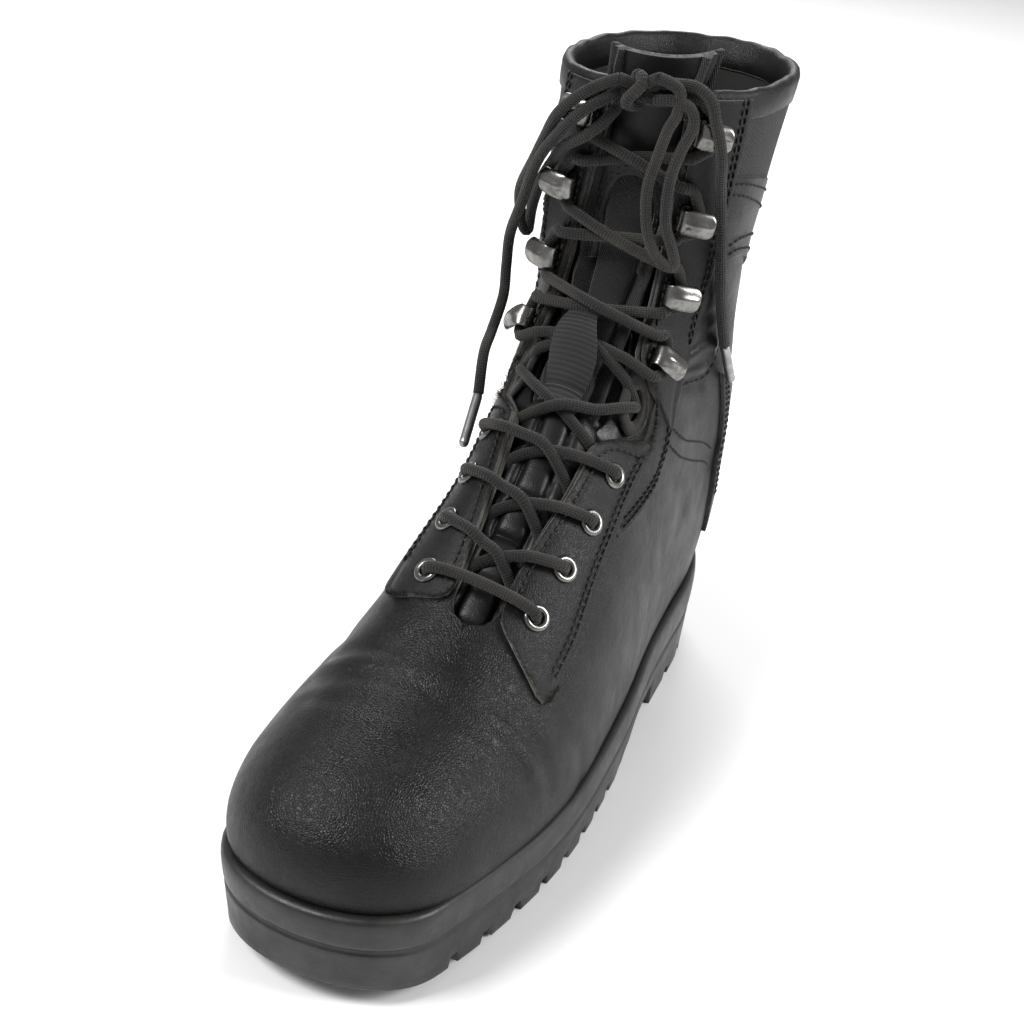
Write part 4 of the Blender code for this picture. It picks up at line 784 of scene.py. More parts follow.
def lacing_route(first_side):
    """Half of the lacing, from the middle of the bar to the knot: along, across, height."""
    side = first_side
    route = [(EYELET_FROM, 0.0, 0.0040), (EYELET_FROM, side * (throat(EYELET_FROM) + 0.001), ON_FACING + 0.0006)]
    route += eyelet_dive(0, side, 0.0)
    lifted = LIFT if first_side > 0 else 0.0
    for number in range(1, 4):
        low, high = eyelet_place(number - 1)[0], eyelet_place(number)[0]
        pitch = high - low
        over = low + 0.74 * pitch
        route += [
            (low + 0.34 * pitch, side * (throat(low) - 0.0014), UNDER_EDGE + 0.0012),
            (low + 0.56 * pitch, 0.0, -0.0019 + (2 * lifted if number % 2 else 2 * LIFT - 2 * lifted)),
            (over - 0.08 * pitch, -side * throat(over) * 0.62, 0.0024),
            (over + 0.01 * pitch, -side * (throat(over) + 0.0008), ON_FACING + 0.0005),
        ]
        side = -side
        route += eyelet_dive(number, side, -0.0026)
    top = eyelet_place(3)[0]
    route += [
        (top + 0.0046, side * (throat(top) - 0.0014), UNDER_EDGE + 0.0012),
        (top + 0.0082, 0.0, -0.0030 + 2 * lifted),
        (top + 0.0150, -side * 0.0130, -0.0006), (top + 0.0230, -side * 0.0222, 0.0004),
        (LOOP_SPOT[0] - 0.0030, -side * (LOOP_SPOT[1] - 0.0022), 0.0002),
    ]
    side = -side
    route += [
        (LOOP_SPOT[0], side * (LOOP_SPOT[1] + 0.0008), -0.0016),
        (LOOP_SPOT[0] + 0.0024, side * (LOOP_SPOT[1] - 0.0040), -0.0020),
        (LOOP_SPOT[0] + 0.0030, side * (LOOP_SPOT[1] - 0.0120), -0.0012),
        (LOOP_SPOT[0] + 0.0050, 0.0, -0.0022 + 2 * lifted),
        (LOOP_SPOT[0] + 0.0062, -side * 0.0120, 0.0006), (LOOP_SPOT[0] + 0.0070, -side * 0.0190, 0.0032),
    ]
    side = -side
    dips = (0.0110, 0.0080, 0.0020, 0.0)
    for number in range(4):
        along, spread_out = hook_place(number)
        beside = HOOK_WIDTH / 2 + 0.0012
        route += [
            (along - beside - 0.0016, side * (spread_out - 0.0034), ON_FACING + 0.0004),
            (along - beside + 0.0012, side * (spread_out + 0.0000), ON_FACING + 0.0002),
            (along - 0.0026, side * (spread_out + 0.0016), ON_FACING + 0.0008),
            (along + 0.0026, side * (spread_out + 0.0016), ON_FACING + 0.0008),
            (along + beside - 0.0012, side * (spread_out + 0.0000), ON_FACING + 0.0002),
            (along + beside + 0.0016, side * (spread_out - 0.0034), ON_FACING + 0.0004),
        ]
        if number == 3:
            break
        start, stop = along + beside + 0.0016, hook_place(number + 1)[0] - beside - 0.0016
        half = (throat(start) + throat(stop)) / 2
        dip = dips[number]
        route += [
            (start - 0.35 * dip, side * (half + 0.0010), ON_FACING + 0.0006),
            ((start + stop) / 2 - dip, 0.0, 0.0002 + (2 * lifted if number % 2 else 2 * LIFT - 2 * lifted)),
            (stop - 0.35 * dip, -side * (half + 0.0010), ON_FACING + 0.0006),
        ]
        side = -side
    last = hook_place(3)[0]
    route += [(last + 0.0098, side * (throat(last) + 0.0014), ON_FACING + 0.0004)]
    route += [(last + 0.0108, KNOT_SPOT[1] + side * 0.0052, 0.0026), (last + 0.0112, KNOT_SPOT[1] + side * 0.0010, 0.0034)]
    return route


# %% The bow's stations, and the tubes
# distance along the ridge, across from the throat's middle, and height over the leather
KNOT_SPOT = (0.3345, -0.0035, 0.0067)
LOOP_INNER = (
    (0.3380, -0.0089, 0.0100), (0.3357, -0.0125, 0.0110), (0.3332, -0.0152, 0.0135), (0.3285, -0.0190, 0.0150),
    (0.3222, -0.0238, 0.0150), (0.3142, -0.0298, 0.0122), (0.3090, -0.0350, 0.0110), (0.3030, -0.0500, 0.0108),
    (0.2980, -0.0545, 0.0095), (0.2945, -0.0562, 0.0080), (0.2945, -0.0585, 0.0060), (0.2985, -0.0490, 0.0058),
    (0.3030, -0.0385, 0.0058), (0.3075, -0.0295, 0.0066), (0.3118, -0.0222, 0.0104), (0.3160, -0.0158, 0.0110),
    (0.3210, -0.0118, 0.0090), (0.3248, -0.0100, 0.0070), (0.3276, -0.0088, 0.0052),
)
END_INNER = (
    (0.3330, -0.0090, 0.0064), (0.3302, -0.0118, 0.0108), (0.3260, -0.0156, 0.0138), (0.3178, -0.0218, 0.0142),
    (0.3070, -0.0300, 0.0135), (0.2960, -0.0400, 0.0130), (0.2900, -0.0500, 0.0138), (0.2810, -0.0540, 0.0142),
    (0.2680, -0.0500, 0.0142), (0.2507, -0.0446, 0.0140), (0.2380, -0.0390, 0.0138), (0.2240, -0.0410, 0.0095),
)
TIP_INNER = ((0.2236, -0.0411, 0.0094), (0.2120, -0.0408, 0.0066), (0.2000, -0.0392, 0.0062))
LOOP_OUTER = (
    (0.3405, 0.0018, 0.0102), (0.3390, 0.0055, 0.0104), (0.3363, 0.0084, 0.0108), (0.3292, 0.0092, 0.0108),
    (0.3237, 0.0079, 0.0106), (0.3133, 0.0070, 0.0104), (0.3024, 0.0066, 0.0102), (0.2904, 0.0088, 0.0100),
    (0.2835, 0.0122, 0.0102), (0.2808, 0.0165, 0.0104), (0.2836, 0.0206, 0.0104), (0.2880, 0.0182, 0.0102),
    (0.2948, 0.0142, 0.0102), (0.3077, 0.0122, 0.0104), (0.3180, 0.0128, 0.0104), (0.3258, 0.0142, 0.0112),
    (0.3308, 0.0128, 0.0112), (0.3334, 0.0090, 0.0108), (0.3330, 0.0050, 0.0092), (0.3322, 0.0022, 0.0082),
)
END_OUTER = (
    (0.3374, 0.0019, 0.0056), (0.3378, 0.0080, 0.0056), (0.3374, 0.0130, 0.0075), (0.3342, 0.0172, 0.0112),
    (0.3285, 0.0195, 0.0128), (0.3206, 0.0235, 0.0128), (0.3100, 0.0300, 0.0080), (0.3021, 0.0364, 0.0068),
    (0.2886, 0.0502, 0.0060), (0.2815, 0.0690, 0.0050),
)
TIP_OUTER = ((0.2814, 0.0693, 0.0050), (0.2802, 0.0800, 0.0046), (0.2800, 0.0905, 0.0044))
TIP_RADIUS = 0.0019


def laid(stations):
    stations = np.array(stations)
    return spots(stations[:, 0], stations[:, 1], stations[:, 2])


def lay_lacing():
    route = lacing_route(1)[:0:-1] + lacing_route(-1)
    points, length = smooth_line(laid(route), 0.0009)
    made = tube("lacing", points, LACE_RADIUS, LACE)
    crossings = [f"lace_crossing_{k}" for k in range(1, 9)]
    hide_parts("lace_bar", "lace_to_knot_outer", "lace_to_knot_inner", *crossings)
    print("lacing", round(length, 3), "m")


def tip_tube(name, stations):
    ends = laid(stations)
    points = ends[0] + (ends[-1] - ends[0]) * np.linspace(0, 1, 20)[:, None]
    swell = np.full(len(points), TIP_RADIUS)
    swell[0] *= 0.90
    swell[-1] *= 0.72
    made = tube(name, points, swell, TIP_METAL, 20)
    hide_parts(name)
    return made


def lay_bow():
    knot = knot_pieces()
    for word, stations, tip in (
        ("loop_inner", LOOP_INNER, None), ("end_inner", END_INNER, TIP_INNER),
        ("loop_outer", LOOP_OUTER, None), ("end_outer", END_OUTER, TIP_OUTER),
    ):
        points, length = smooth_line(laid(stations), 0.0009)
        made = tube("lace_" + word + "_cord", points, LACE_RADIUS, LACE)
        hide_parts("lace_" + word)
        pieces = [tip_tube("lace_" + word.replace("end", "tip"), tip)] if tip else []
        if word == "loop_outer":
            pieces = knot
        print(word, round(length, 3), "m")


def knot_pieces():
    """The strand wrapped once round the middle of the bow, and the strands that it holds."""
    along, across, up = KNOT_SPOT
    turn = np.linspace(0, 2 * math.pi, 60)
    ring = spots(along + 0.0052 * np.cos(turn), across + 0.0016 * np.sin(2 * turn), up + 0.0012 + 0.0042 * np.sin(turn))
    wrap = tube("lace_knot_wrap", ring[:-1], LACE_RADIUS * 1.02, LACE)
    core = []
    for k, (a0, u0, a1, u1) in enumerate(((0.3380, 0.0098, 0.3405, 0.0102), (0.3330, 0.0062, 0.3374, 0.0056), (0.3276, 0.0052, 0.3322, 0.0082))):
        line, _ = smooth_line(laid(((a0, -0.0092, u0), (along + (k - 1) * -0.0022, across, up + 0.0006), (a1, 0.0022, u1))), 0.0009)
        core.append(tube(f"lace_knot_core_{k + 1}", line, LACE_RADIUS, LACE))
    for piece in [wrap] + core:
        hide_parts("lace_knot")
    return [wrap] + core


lay_lacing()
lay_bow()


# %% [markdown]
# ## The upper
# The vamp, quarters and shaft are one hollow shell, as the last shapes them. Its grid runs from the
# throat's edge to the sole on each side, so that the opening has a clean cut edge, and a Solidify
# modifier gives the real wall with its lining.

# %% Build the upper
UPPER_ROWS = 210
UPPER_COLUMNS = 62


def soften(values, passes=6):
    for _ in range(passes):
        values = np.concatenate([values[:1], (values[:-2] + 2 * values[1:-1] + values[2:]) / 4, values[-1:]])
    return values


def build_upper():
    number = np.linspace(0, LAST, UPPER_ROWS)
    along = along_at(number)
    half = np.where(along > THROAT_HALF[1][0], soften(read(THROAT_HALF, along), 2), 0.0)
    share = np.linspace(0, 1, UPPER_COLUMNS) ** 1.15
    halves = []
    for s, side in ((0, 1), (1, -1)):
        edge = girth_at(number, s) - side * read(THROAT_MIDDLE, along)
        across = side * (half[:, None] + (edge - half)[:, None] * share[None, :])
        lift = creased(along[:, None], across)
        feather = np.clip((1 - share[None, :]) / 0.08, 0.0, 1.0)
        halves.append(spots(along[:, None], across, lift * feather))
    points = np.concatenate([h.reshape(-1, 3) for h in halves])
    faces = grid_faces(UPPER_ROWS, UPPER_COLUMNS)
    faces += [f[::-1] for f in grid_faces(UPPER_ROWS, UPPER_COLUMNS, UPPER_ROWS * UPPER_COLUMNS)]
    data = mesh_from("boot_upper", points, faces, merge=5e-5)
    made = put("boot_upper", data, [LEATHER, LINING, RAW_EDGE])
    outward = Vector(spots(0.30, 0.06, 0.0) - spots(0.30, 0.06, -0.01))
    spot = Vector(spots(0.30, 0.06, 0.0))
    nearest = min(data.polygons, key=lambda face: (face.center - spot).length)
    if nearest.normal.dot(outward) < 0:
        data.flip_normals()
    wall = made.modifiers.new("wall", "SOLIDIFY")
    wall.thickness = WALL
    wall.offset = -1
    wall.material_offset = 1
    wall.material_offset_rim = 2
    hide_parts("upper")
    return made


upper = build_upper()
print("upper", len(upper.data.polygons), "faces")


# %% [markdown]
# ## Panels on the upper
# Facings, straps and cloth panels are cut pieces stitched over the quarters. Each one is drawn as the
# space between two edges on the leather, so that it bends with the boot, and its thickness stands on
# the form's surface.


# %% A panel between two edges
def panel(name, first_edge, second_edge, thickness, look, edge_look=None, base=0.0, size=0.0011, puff=0.0, slot="black_leather"):
    """A cut piece between two edges on the leather, each a line of (along, across)."""
    first, length_one = smooth_line(first_edge, 0.004)
    second, length_two = smooth_line(second_edge, 0.004)
    rows = max(4, int(max(length_one, length_two) / size))
    first, _ = even_points(first, rows)
    second, _ = even_points(second, rows)
    columns = max(4, int(np.linalg.norm(first - second, axis=1).max() / size))
    share = np.linspace(0, 1, columns)
    grid = first[:, None] * (1 - share[None, :, None]) + second[:, None] * share[None, :, None]
    along, across = grid[..., 0], grid[..., 1]
    relief = creased(along, across) + grooved(along, across)
    if puff:
        away = np.minimum(np.linspace(0, 1, rows), np.linspace(1, 0, rows))[:, None] * np.minimum(share, 1 - share)[None, :]
        relief = relief + puff * np.clip(away * 16, 0, 1)
    top = spots(along, across, base + thickness + relief)
    bottom = spots(along, across, np.minimum(base + relief, base + 0.0) - 0.0002)
    made = slab(name, top, bottom, look, edge_look or RAW_EDGE)
    return made


# %% [markdown]
# ## Seams
# Two rows of thick thread hold most edges. Each stitch is a short piece of thread that dives into its
# holes at both ends, in a groove that it has pulled into the leather. One stitch is drawn once and
# repeated along the line, and each seam is one joined mesh.

# %% Seam lines
# places along and across; the inner side mirrors the outer side
SHAFT_SEAM = (
    (0.3330, 0.0350), (0.3229, 0.0356), (0.3112, 0.0378), (0.2997, 0.0400), (0.2832, 0.0434), (0.2679, 0.0466),
    (0.2570, 0.0470), (0.2495, 0.0485), (0.2422, 0.0531), (0.2335, 0.0567), (0.2219, 0.0546), (0.2073, 0.0483),
    (0.1945, 0.0422),
)
LOWER_SEAM = ((0.2200, 0.0400), (0.2080, 0.0376), (0.1961, 0.0362), (0.1780, 0.0352), (0.1609, 0.0356), (0.1437, 0.0366), (0.1220, 0.0352))
NOTCH_SEAM = ((0.2440, 0.0300), (0.2425, 0.0380), (0.2380, 0.0424), (0.2330, 0.0436), (0.2262, 0.0430), (0.2200, 0.0400))
ANKLE_SEAM = ((0.2411, 0.0600), (0.2460, 0.0740), (0.2521, 0.0874), (0.2585, 0.1030), (0.2632, 0.1165))
FLEX_SEAM = ((0.2523, 0.0480), (0.2600, 0.0572), (0.2705, 0.0708), (0.2768, 0.0749), (0.2815, 0.0728), (0.2850, 0.0620), (0.2848, 0.0520))
BAND_LOW = ((0.2905, 0.0430), (0.2972, 0.0514), (0.3034, 0.0614), (0.3080, 0.0800), (0.3090, 0.1000), (0.3095, 0.1180))
BAND_HIGH = ((0.3150, 0.0372), (0.3177, 0.0492), (0.3193, 0.0631), (0.3205, 0.0820), (0.3210, 0.1000), (0.3212, 0.1180))
FACING_TOP_SEAM = ((0.2195, 0.0385), (0.2110, 0.0255), (0.2040, 0.0200))
FACING_EDGE_SEAM = ((0.2040, 0.0200), (0.1900, 0.0180), (0.1700, 0.0150), (0.1500, 0.0126), (0.1330, 0.0124))
HOOK_STRIP_SEAM = ((0.2470, 0.0262), (0.2600, 0.0240), (0.2750, 0.0222), (0.2950, 0.0196), (0.3150, 0.0176), (0.3300, 0.0172))
GROOVES = (
    (SHAFT_SEAM, 0.00045), (LOWER_SEAM, 0.00045), (NOTCH_SEAM, 0.00035), (ANKLE_SEAM, 0.00035),
    (FACING_TOP_SEAM, 0.0003), (FACING_EDGE_SEAM, 0.0003), (HOOK_STRIP_SEAM, 0.0003),
)


def grooved(along, across):
    """The trough that a seam pulls into the leather."""
    total = np.zeros(along.shape)
    for line, depth in GROOVES:
        curve, _ = smooth_line(line, 0.003)
        total -= depth * np.exp(-(distance_to(curve, along, np.abs(across)) / 0.0013) ** 2)
    return total


# %% Panel edges
LOWER_FACING = (
    (0.1130, 0.0340, 0.0372), (0.1170, 0.0262, 0.0382), (0.1220, 0.0178, 0.0390), (0.1280, 0.0104, 0.0396),
    (0.1400, 0.0092, 0.0402), (0.1600, 0.0108, 0.0396), (0.1800, 0.0136, 0.0392), (0.2000, 0.0162, 0.0400),
    (0.2060, 0.0172, 0.0412), (0.2140, 0.0250, 0.0426), (0.2220, 0.0345, 0.0438), (0.2275, 0.0405, 0.0446),
)
SHAFT_FACING = (
    (0.2420, 0.0345, 0.0550), (0.2450, 0.0262, 0.0540), (0.2500, 0.0228, 0.0520), (0.2600, 0.0212, 0.0505),
    (0.2750, 0.0194, 0.0485), (0.2900, 0.0177, 0.0452), (0.3050, 0.0161, 0.0420), (0.3200, 0.0146, 0.0392),
    (0.3325, 0.0140, 0.0384),
)


LOWER_FACING_INNER = (
    (0.1262, 0.0215, 0.0245), (0.1264, 0.0150, 0.0300), (0.1280, 0.0112, 0.0350), (0.1310, 0.0094, 0.0386),
    (0.1370, 0.0092, 0.0402),
) + LOWER_FACING[5:]


def mirrored(line, side):
    return [(a, side * c) for a, c in line]


def shifted(line, distance):
    """A line moved sideways on the leather."""
    line = np.array(line)
    ahead = np.gradient(line, axis=0)
    ahead /= np.linalg.norm(ahead, axis=1, keepdims=True)
    return line + np.stack([ahead[:, 1], -ahead[:, 0]], 1) * distance


HEEL_FRONT = ((0.2796, 0.0870), (0.2770, 0.1046), (0.2737, 0.1161), (0.2660, 0.1250), (0.2610, 0.1400), (0.2585, 0.1600))


def heel_edges(side):
    """The heel panel's front edge, and its hidden edge under the backstay."""
    front, _ = even_points(np.array(HEEL_FRONT), 40)
    s = 0 if side > 0 else 1
    number = np.linspace(15.6, 13.2, 40)
    back_across = girth_at(number, s) - 0.0160 - side * read(THROAT_MIDDLE, along_at(number))
    front[:, 1] = np.minimum(front[:, 1], girth_at(section_at(front[:, 0]), s) - 0.030)
    return mirrored(front, side), mirrored(np.stack([along_at(number), back_across], 1), side)


def build_panels():
    made = {}
    for side, word in ((1, "outer"), (-1, "inner")):
        table = LOWER_FACING if side > 0 else LOWER_FACING_INNER
        near = [(a, side * n) for a, n, _ in table]
        far = [(a, side * f) for a, _, f in table]
        made["lower", word] = panel("lower_facing_leather_" + word, near, far, FACING_TOP, FACING_LEATHER, WORN_EDGE)
        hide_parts("lower_facing_" + word)
        near = [(a, side * n) for a, n, _ in SHAFT_FACING]
        far = [(a, side * f) for a, _, f in SHAFT_FACING]
        made["shaft", word] = panel("shaft_facing_leather_" + word, near, far, FACING_TOP, FACING_LEATHER, RAW_EDGE)
        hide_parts("shaft_facing_" + word)
        strip_out = mirrored(((0.2560, 0.0500), (0.2495, 0.0520), (0.2422, 0.0566), (0.2335, 0.0602), (0.2219, 0.0582), (0.2073, 0.0518), (0.1900, 0.0430)), side)
        strip_in = mirrored(((0.2520, 0.0400), (0.2445, 0.0400), (0.2385, 0.0392), (0.2330, 0.0392), (0.2262, 0.0400), (0.2100, 0.0390), (0.1890, 0.0380)), side)
        panel("ankle_strap_" + word, strip_in, strip_out, 0.0013, FACING_LEATHER, RAW_EDGE)
        band_low, band_high = mirrored(BAND_LOW, side), mirrored(BAND_HIGH, side)
        panel("shaft_band_" + word, band_low, band_high, 0.0013, LEATHER, RAW_EDGE)
        top = mirrored(((0.3312, 0.0360), (0.3318, 0.0492), (0.3322, 0.0631), (0.3326, 0.0820), (0.3328, 0.1000), (0.3328, 0.1180)), side)
        low = mirrored(((0.3130, 0.0372), (0.3157, 0.0492), (0.3173, 0.0631), (0.3185, 0.0820), (0.3190, 0.1000), (0.3192, 0.1180)), side)
        panel("shaft_cloth_" + word, low, top, 0.0007, SHAFT_CLOTH, SHAFT_CLOTH)
        bellows_in = mirrored(((0.2130, 0.0180), (0.2230, 0.0230), (0.2330, 0.0250), (0.2430, 0.0230), (0.2540, 0.0190)), side)
        bellows_out = mirrored(((0.2130, 0.0330), (0.2230, 0.0420), (0.2330, 0.0450), (0.2430, 0.0420), (0.2540, 0.0330)), side)
        panel("ankle_bellows_" + word, bellows_in, bellows_out, 0.0010, SOFT_LEATHER, SOFT_LEATHER, base=-0.0062, puff=0.0016)
        panel("heel_panel_" + word, *heel_edges(side), 0.0018, LEATHER, RAW_EDGE)
        flex_one = mirrored(((0.2530, 0.0470), (0.2620, 0.0575), (0.2710, 0.0690), (0.2775, 0.0735), (0.2825, 0.0715), (0.2900, 0.0640), (0.2980, 0.0560)), side)
        flex_two = mirrored(((0.2540, 0.0450), (0.2620, 0.0462), (0.2700, 0.0455), (0.2760, 0.0446), (0.2820, 0.0435), (0.2880, 0.0425), (0.2940, 0.0420)), side)
        panel("flex_panel_" + word, flex_one, flex_two, 0.0009, SOFT_LEATHER, SOFT_LEATHER, puff=0.0009)
    return made


panels = build_panels()
print(len(panels), "facings")


# %% Stitches along the seams
STITCH_PITCH = 0.0033
STITCH_LENGTH = 0.0027
STITCH_RADIUS = 0.00042


def sew(name, rows):
    """One joined mesh of stitches; each row is a line of points with its outward directions."""
    points, faces = [], []
    rise = STITCH_RADIUS * np.array((-1.1, 0.25, 0.6, 0.25, -1.1))
    thick = STITCH_RADIUS * np.array((0.7, 1.0, 1.08, 1.0, 0.7))
    turns = np.linspace(0, 2 * math.pi, 6, endpoint=False)
    for path, facings in rows:
        real = np.concatenate([[0], np.cumsum(np.linalg.norm(np.diff(path, axis=0), axis=1))])
        for start in np.arange(0.0005, real[-1] - STITCH_LENGTH, STITCH_PITCH):
            places = start + STITCH_LENGTH * np.array((0.0, 0.22, 0.5, 0.78, 1.0))
            middle = np.stack([np.interp(places, real, path[:, c]) for c in range(3)], 1)
            facing = np.stack([np.interp(places, real, facings[:, c]) for c in range(3)], 1)
            ahead = np.gradient(middle, axis=0)
            ahead /= np.linalg.norm(ahead, axis=1, keepdims=True)
            over = np.cross(ahead, facing)
            base = len(points)
            for k in range(5):
                for angle in turns:
                    out = facing[k] * (rise[k] + thick[k] * math.sin(angle))
                    points.append(middle[k] + out + over[k] * thick[k] * math.cos(angle))
            for k in range(4):
                for turn in range(6):
                    a, b = base + k * 6 + turn, base + k * 6 + (turn + 1) % 6
                    faces.append((a, b, b + 6, a + 6))
            faces.append(tuple(base + t for t in range(5, -1, -1)))
            faces.append(tuple(base + 24 + t for t in range(6)))
    data = bpy.data.meshes.new(name)
    data.from_pydata([tuple(map(float, p)) for p in points], [], faces)
    made = put(name, data, [THREAD])
    return made


def directions(low, high):
    away = high - low
    return away / np.linalg.norm(away, axis=1, keepdims=True)


def stitches(name, lines, heights):
    """Stitches along lines on the leather, lying at a height over it."""
    rows = []
    for line, up in zip(lines, heights):
        curve, _ = smooth_line(line, 0.0005)
        lift = up + creased(curve[:, 0], curve[:, 1])
        path = spots(curve[:, 0], curve[:, 1], lift)
        rows.append((path, directions(path, spots(curve[:, 0], curve[:, 1], lift + 0.001))))
    return sew(name, rows)


def build_seams():
    total = 0
    for side, word in ((1, "outer"), (-1, "inner")):
        double = []
        for line, up in ((SHAFT_SEAM[:6], FACING_TOP), (SHAFT_SEAM[5:], 0.0014), (LOWER_SEAM, FACING_TOP)):
            curve = mirrored(line if side > 0 or line is not LOWER_SEAM else line[:-1], side)
            double += [(shifted(curve, 0.0011), up), (shifted(curve, -0.0011), up)]
        for line, up in ((ANKLE_SEAM, 0.0), (shifted(ANKLE_SEAM, 0.0048), 0.0)):
            double.append((mirrored(line, side), up))
        for line, up in ((shifted(BAND_LOW, 0.0016), 0.0013), (shifted(BAND_LOW, 0.0040), 0.0013), (shifted(BAND_HIGH, -0.0040), 0.0013), (shifted(BAND_HIGH, -0.0016), 0.0013)):
            double.append((mirrored(line, side), up))
        single = [(mirrored(NOTCH_SEAM, side), 0.0014), (mirrored(FACING_TOP_SEAM, side), FACING_TOP)]
        single += [(mirrored(FACING_EDGE_SEAM, side), FACING_TOP), (mirrored(HOOK_STRIP_SEAM, side), FACING_TOP)]
        flex = mirrored(FLEX_SEAM, side)
        single += [(shifted(flex, 0.0022), 0.0), (shifted(flex, -0.0006), 0.0)]
        heel = heel_edges(side)[0][:30]
        double += [(shifted(heel, 0.0018), 0.0018), (shifted(heel, 0.0040), 0.0018)]
        lines = double + single
        made = stitches("stitches_" + word, [line for line, _ in lines], [up for _, up in lines])
        total += len(made.data.polygons)
    return total


print("stitches", build_seams(), "faces")


# %% Fibres on the raw edges
def fibres(name, lines, count, length, look):
    """Fine hairs that stand off raw edges; each is a thin bent blade with three sides."""
    rng = random.Random(11)
    points, faces = [], []
    for line, height in lines:
        curve, _ = smooth_line(line, 0.0005)
        for _ in range(count):
            along, across = curve[rng.randrange(len(curve))]
            root = np.array(spots(along, across, height + rng.uniform(-0.0012, 0.0002)))
            away = np.array([rng.gauss(0, 1) for _ in range(3)])
            away /= np.linalg.norm(away)
            normal = np.array(spots(along, across, height + 0.002)) - np.array(spots(along, across, height))
            away = away + normal / np.linalg.norm(normal) * 0.5
            size = length * rng.uniform(0.4, 1.2)
            bend = np.array([rng.gauss(0, 0.35) for _ in range(3)])
            base = len(points)
            for share, thick in ((0.0, 0.000055), (0.5, 0.000045)):
                middle = root + away * size * share + bend * size * share * share
                for turn in range(3):
                    angle = turn * 2 * math.pi / 3
                    points.append(middle + thick * np.array((math.cos(angle), math.sin(angle), 0.3 * math.cos(angle))))
            points.append(root + away * size + bend * size)
            for turn in range(3):
                nxt = (turn + 1) % 3
                faces.append((base + turn, base + nxt, base + 3 + nxt, base + 3 + turn))
                faces.append((base + 3 + turn, base + 3 + nxt, base + 6))
            faces.append((base + 2, base + 1, base))
    data = bpy.data.meshes.new(name)
    data.from_pydata([tuple(map(float, p)) for p in points], [], faces)
    made = put(name, data, [look])
    return made


FIBRE = new_look("fibre", (0.030, 0.027, 0.023), 0.9, specular=0.2)
fuzzy = []
for side, table in ((1, LOWER_FACING), (-1, LOWER_FACING_INNER)):
    fuzzy.append(([(a, side * n) for a, n, _ in table], FACING_TOP))
    fuzzy.append(([(a, side * n) for a, n, _ in table[:5]], FACING_TOP))
    fuzzy.append(([(a, side * f) for a, _, f in table[:3]], FACING_TOP))
    fuzzy.append(([(a, side * n) for a, n, _ in LOWER_FACING[-4:]], FACING_TOP))
    fuzzy.append(([(a, side * n) for a, n, _ in SHAFT_FACING], FACING_TOP))
    fuzzy.append((mirrored(NOTCH_SEAM, side), FACING_TOP))
fibres("edge_fibres", fuzzy, 420, 0.0022, FIBRE)


# %% [markdown]
# ## Backstay and collar
# A strip of thick leather covers the back seam from the sole to the top, and a folded strip binds the
# collar, where it has worn pale. Both follow the back of the form, so they are measured from its middle.


# %% Build the backstay and the collar
def back_spots(number, across, up=0.0):
    number, across, up = np.broadcast_arrays(*(np.asarray(v, float) for v in (number, across, up)))
    side = (across < 0).astype(int)
    return share_spots(number, 1 - np.abs(across) / girth_at(number, side), side, up)


BACKSTAY_HALF = ((13.2, 0.0250), (14.0, 0.0236), (15.0, 0.0190), (16.5, 0.0162), (19.0, 0.0150))


def build_backstay():
    number = np.linspace(13.2, 18.97, 150)
    half = np.interp(number, [row[0] for row in BACKSTAY_HALF], [row[1] for row in BACKSTAY_HALF])
    share = np.linspace(-1, 1, 34)
    across = half[:, None] * share[None, :]
    groove = -0.0004 * np.exp(-((half[:, None] - np.abs(across) - 0.0030) / 0.0013) ** 2)
    top = back_spots(number[:, None], across, FACING_TOP + groove)
    bottom = back_spots(number[:, None], across, 0.0)
    made = slab("backstay_leather", top, bottom, LEATHER, RAW_EDGE)
    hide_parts("backstay")
    return number, half


def build_collar():
    """The folded strip over the top edge: an arch of points swept round the opening."""
    places = []
    for s, side in ((0, 1), (1, -1)):
        total = float(girth_at(LAST, s))
        start = throat(RIDGE_DRAWN) + side * float(read(THROAT_MIDDLE, RIDGE_DRAWN))
        run = np.linspace(start, total, 90)
        places.append([(s, d / total) for d in run])
    ring = places[0] + places[1][::-1][1:]
    sides = np.array([p[0] for p in ring])
    shares = np.array([p[1] for p in ring])
    rim = share_spots(np.full(len(ring), float(LAST)), shares, sides)
    low = share_spots(np.full(len(ring), LAST - 0.25), shares, sides)
    out = share_spots(np.full(len(ring), float(LAST)), shares, sides, 0.001) - rim
    out /= np.linalg.norm(out, axis=1, keepdims=True)
    upward = rim - low
    upward /= np.linalg.norm(upward, axis=1, keepdims=True)
    profile = (
        (0.0011, -0.0090), (0.0013, -0.0050), (0.0013, -0.0010), (0.0006, 0.0008), (-0.0010, 0.0013),
        (-0.0026, 0.0008), (-0.0034, -0.0010), (-0.0034, -0.0060), (-0.0034, -0.0110),
    )
    rng = random.Random(5)
    wobble = soften(np.array([rng.uniform(-1, 1) for _ in ring]), 5) * 0.0010
    outer = np.stack([rim + out * o + upward * (u + wobble[:, None] * (1 if u > 0 else 0.4)) for o, u in profile], 1)
    inner = np.stack([rim + out * (o * 0.55 - 0.0005) + upward * (u - 0.0007 + wobble[:, None] * 0.4) for o, u in profile], 1)
    made = slab("collar_binding", outer, inner, FACING_LEATHER, WORN_EDGE, 0.0)
    return made


stay_number, stay_half = build_backstay()
collar = build_collar()


# %% Stitches on the backstay
def stay_rows():
    rows = []
    for side in (1, -1):
        for inset in (0.0020, 0.0042):
            number = np.linspace(13.4, 18.8, 400)
            across = side * (np.interp(number, stay_number, stay_half) - inset)
            path = back_spots(number, across, FACING_TOP - 0.0003)
            rows.append((path, directions(path, back_spots(number, across, FACING_TOP + 0.0007))))
    return rows


sew("stitches_backstay", stay_rows())


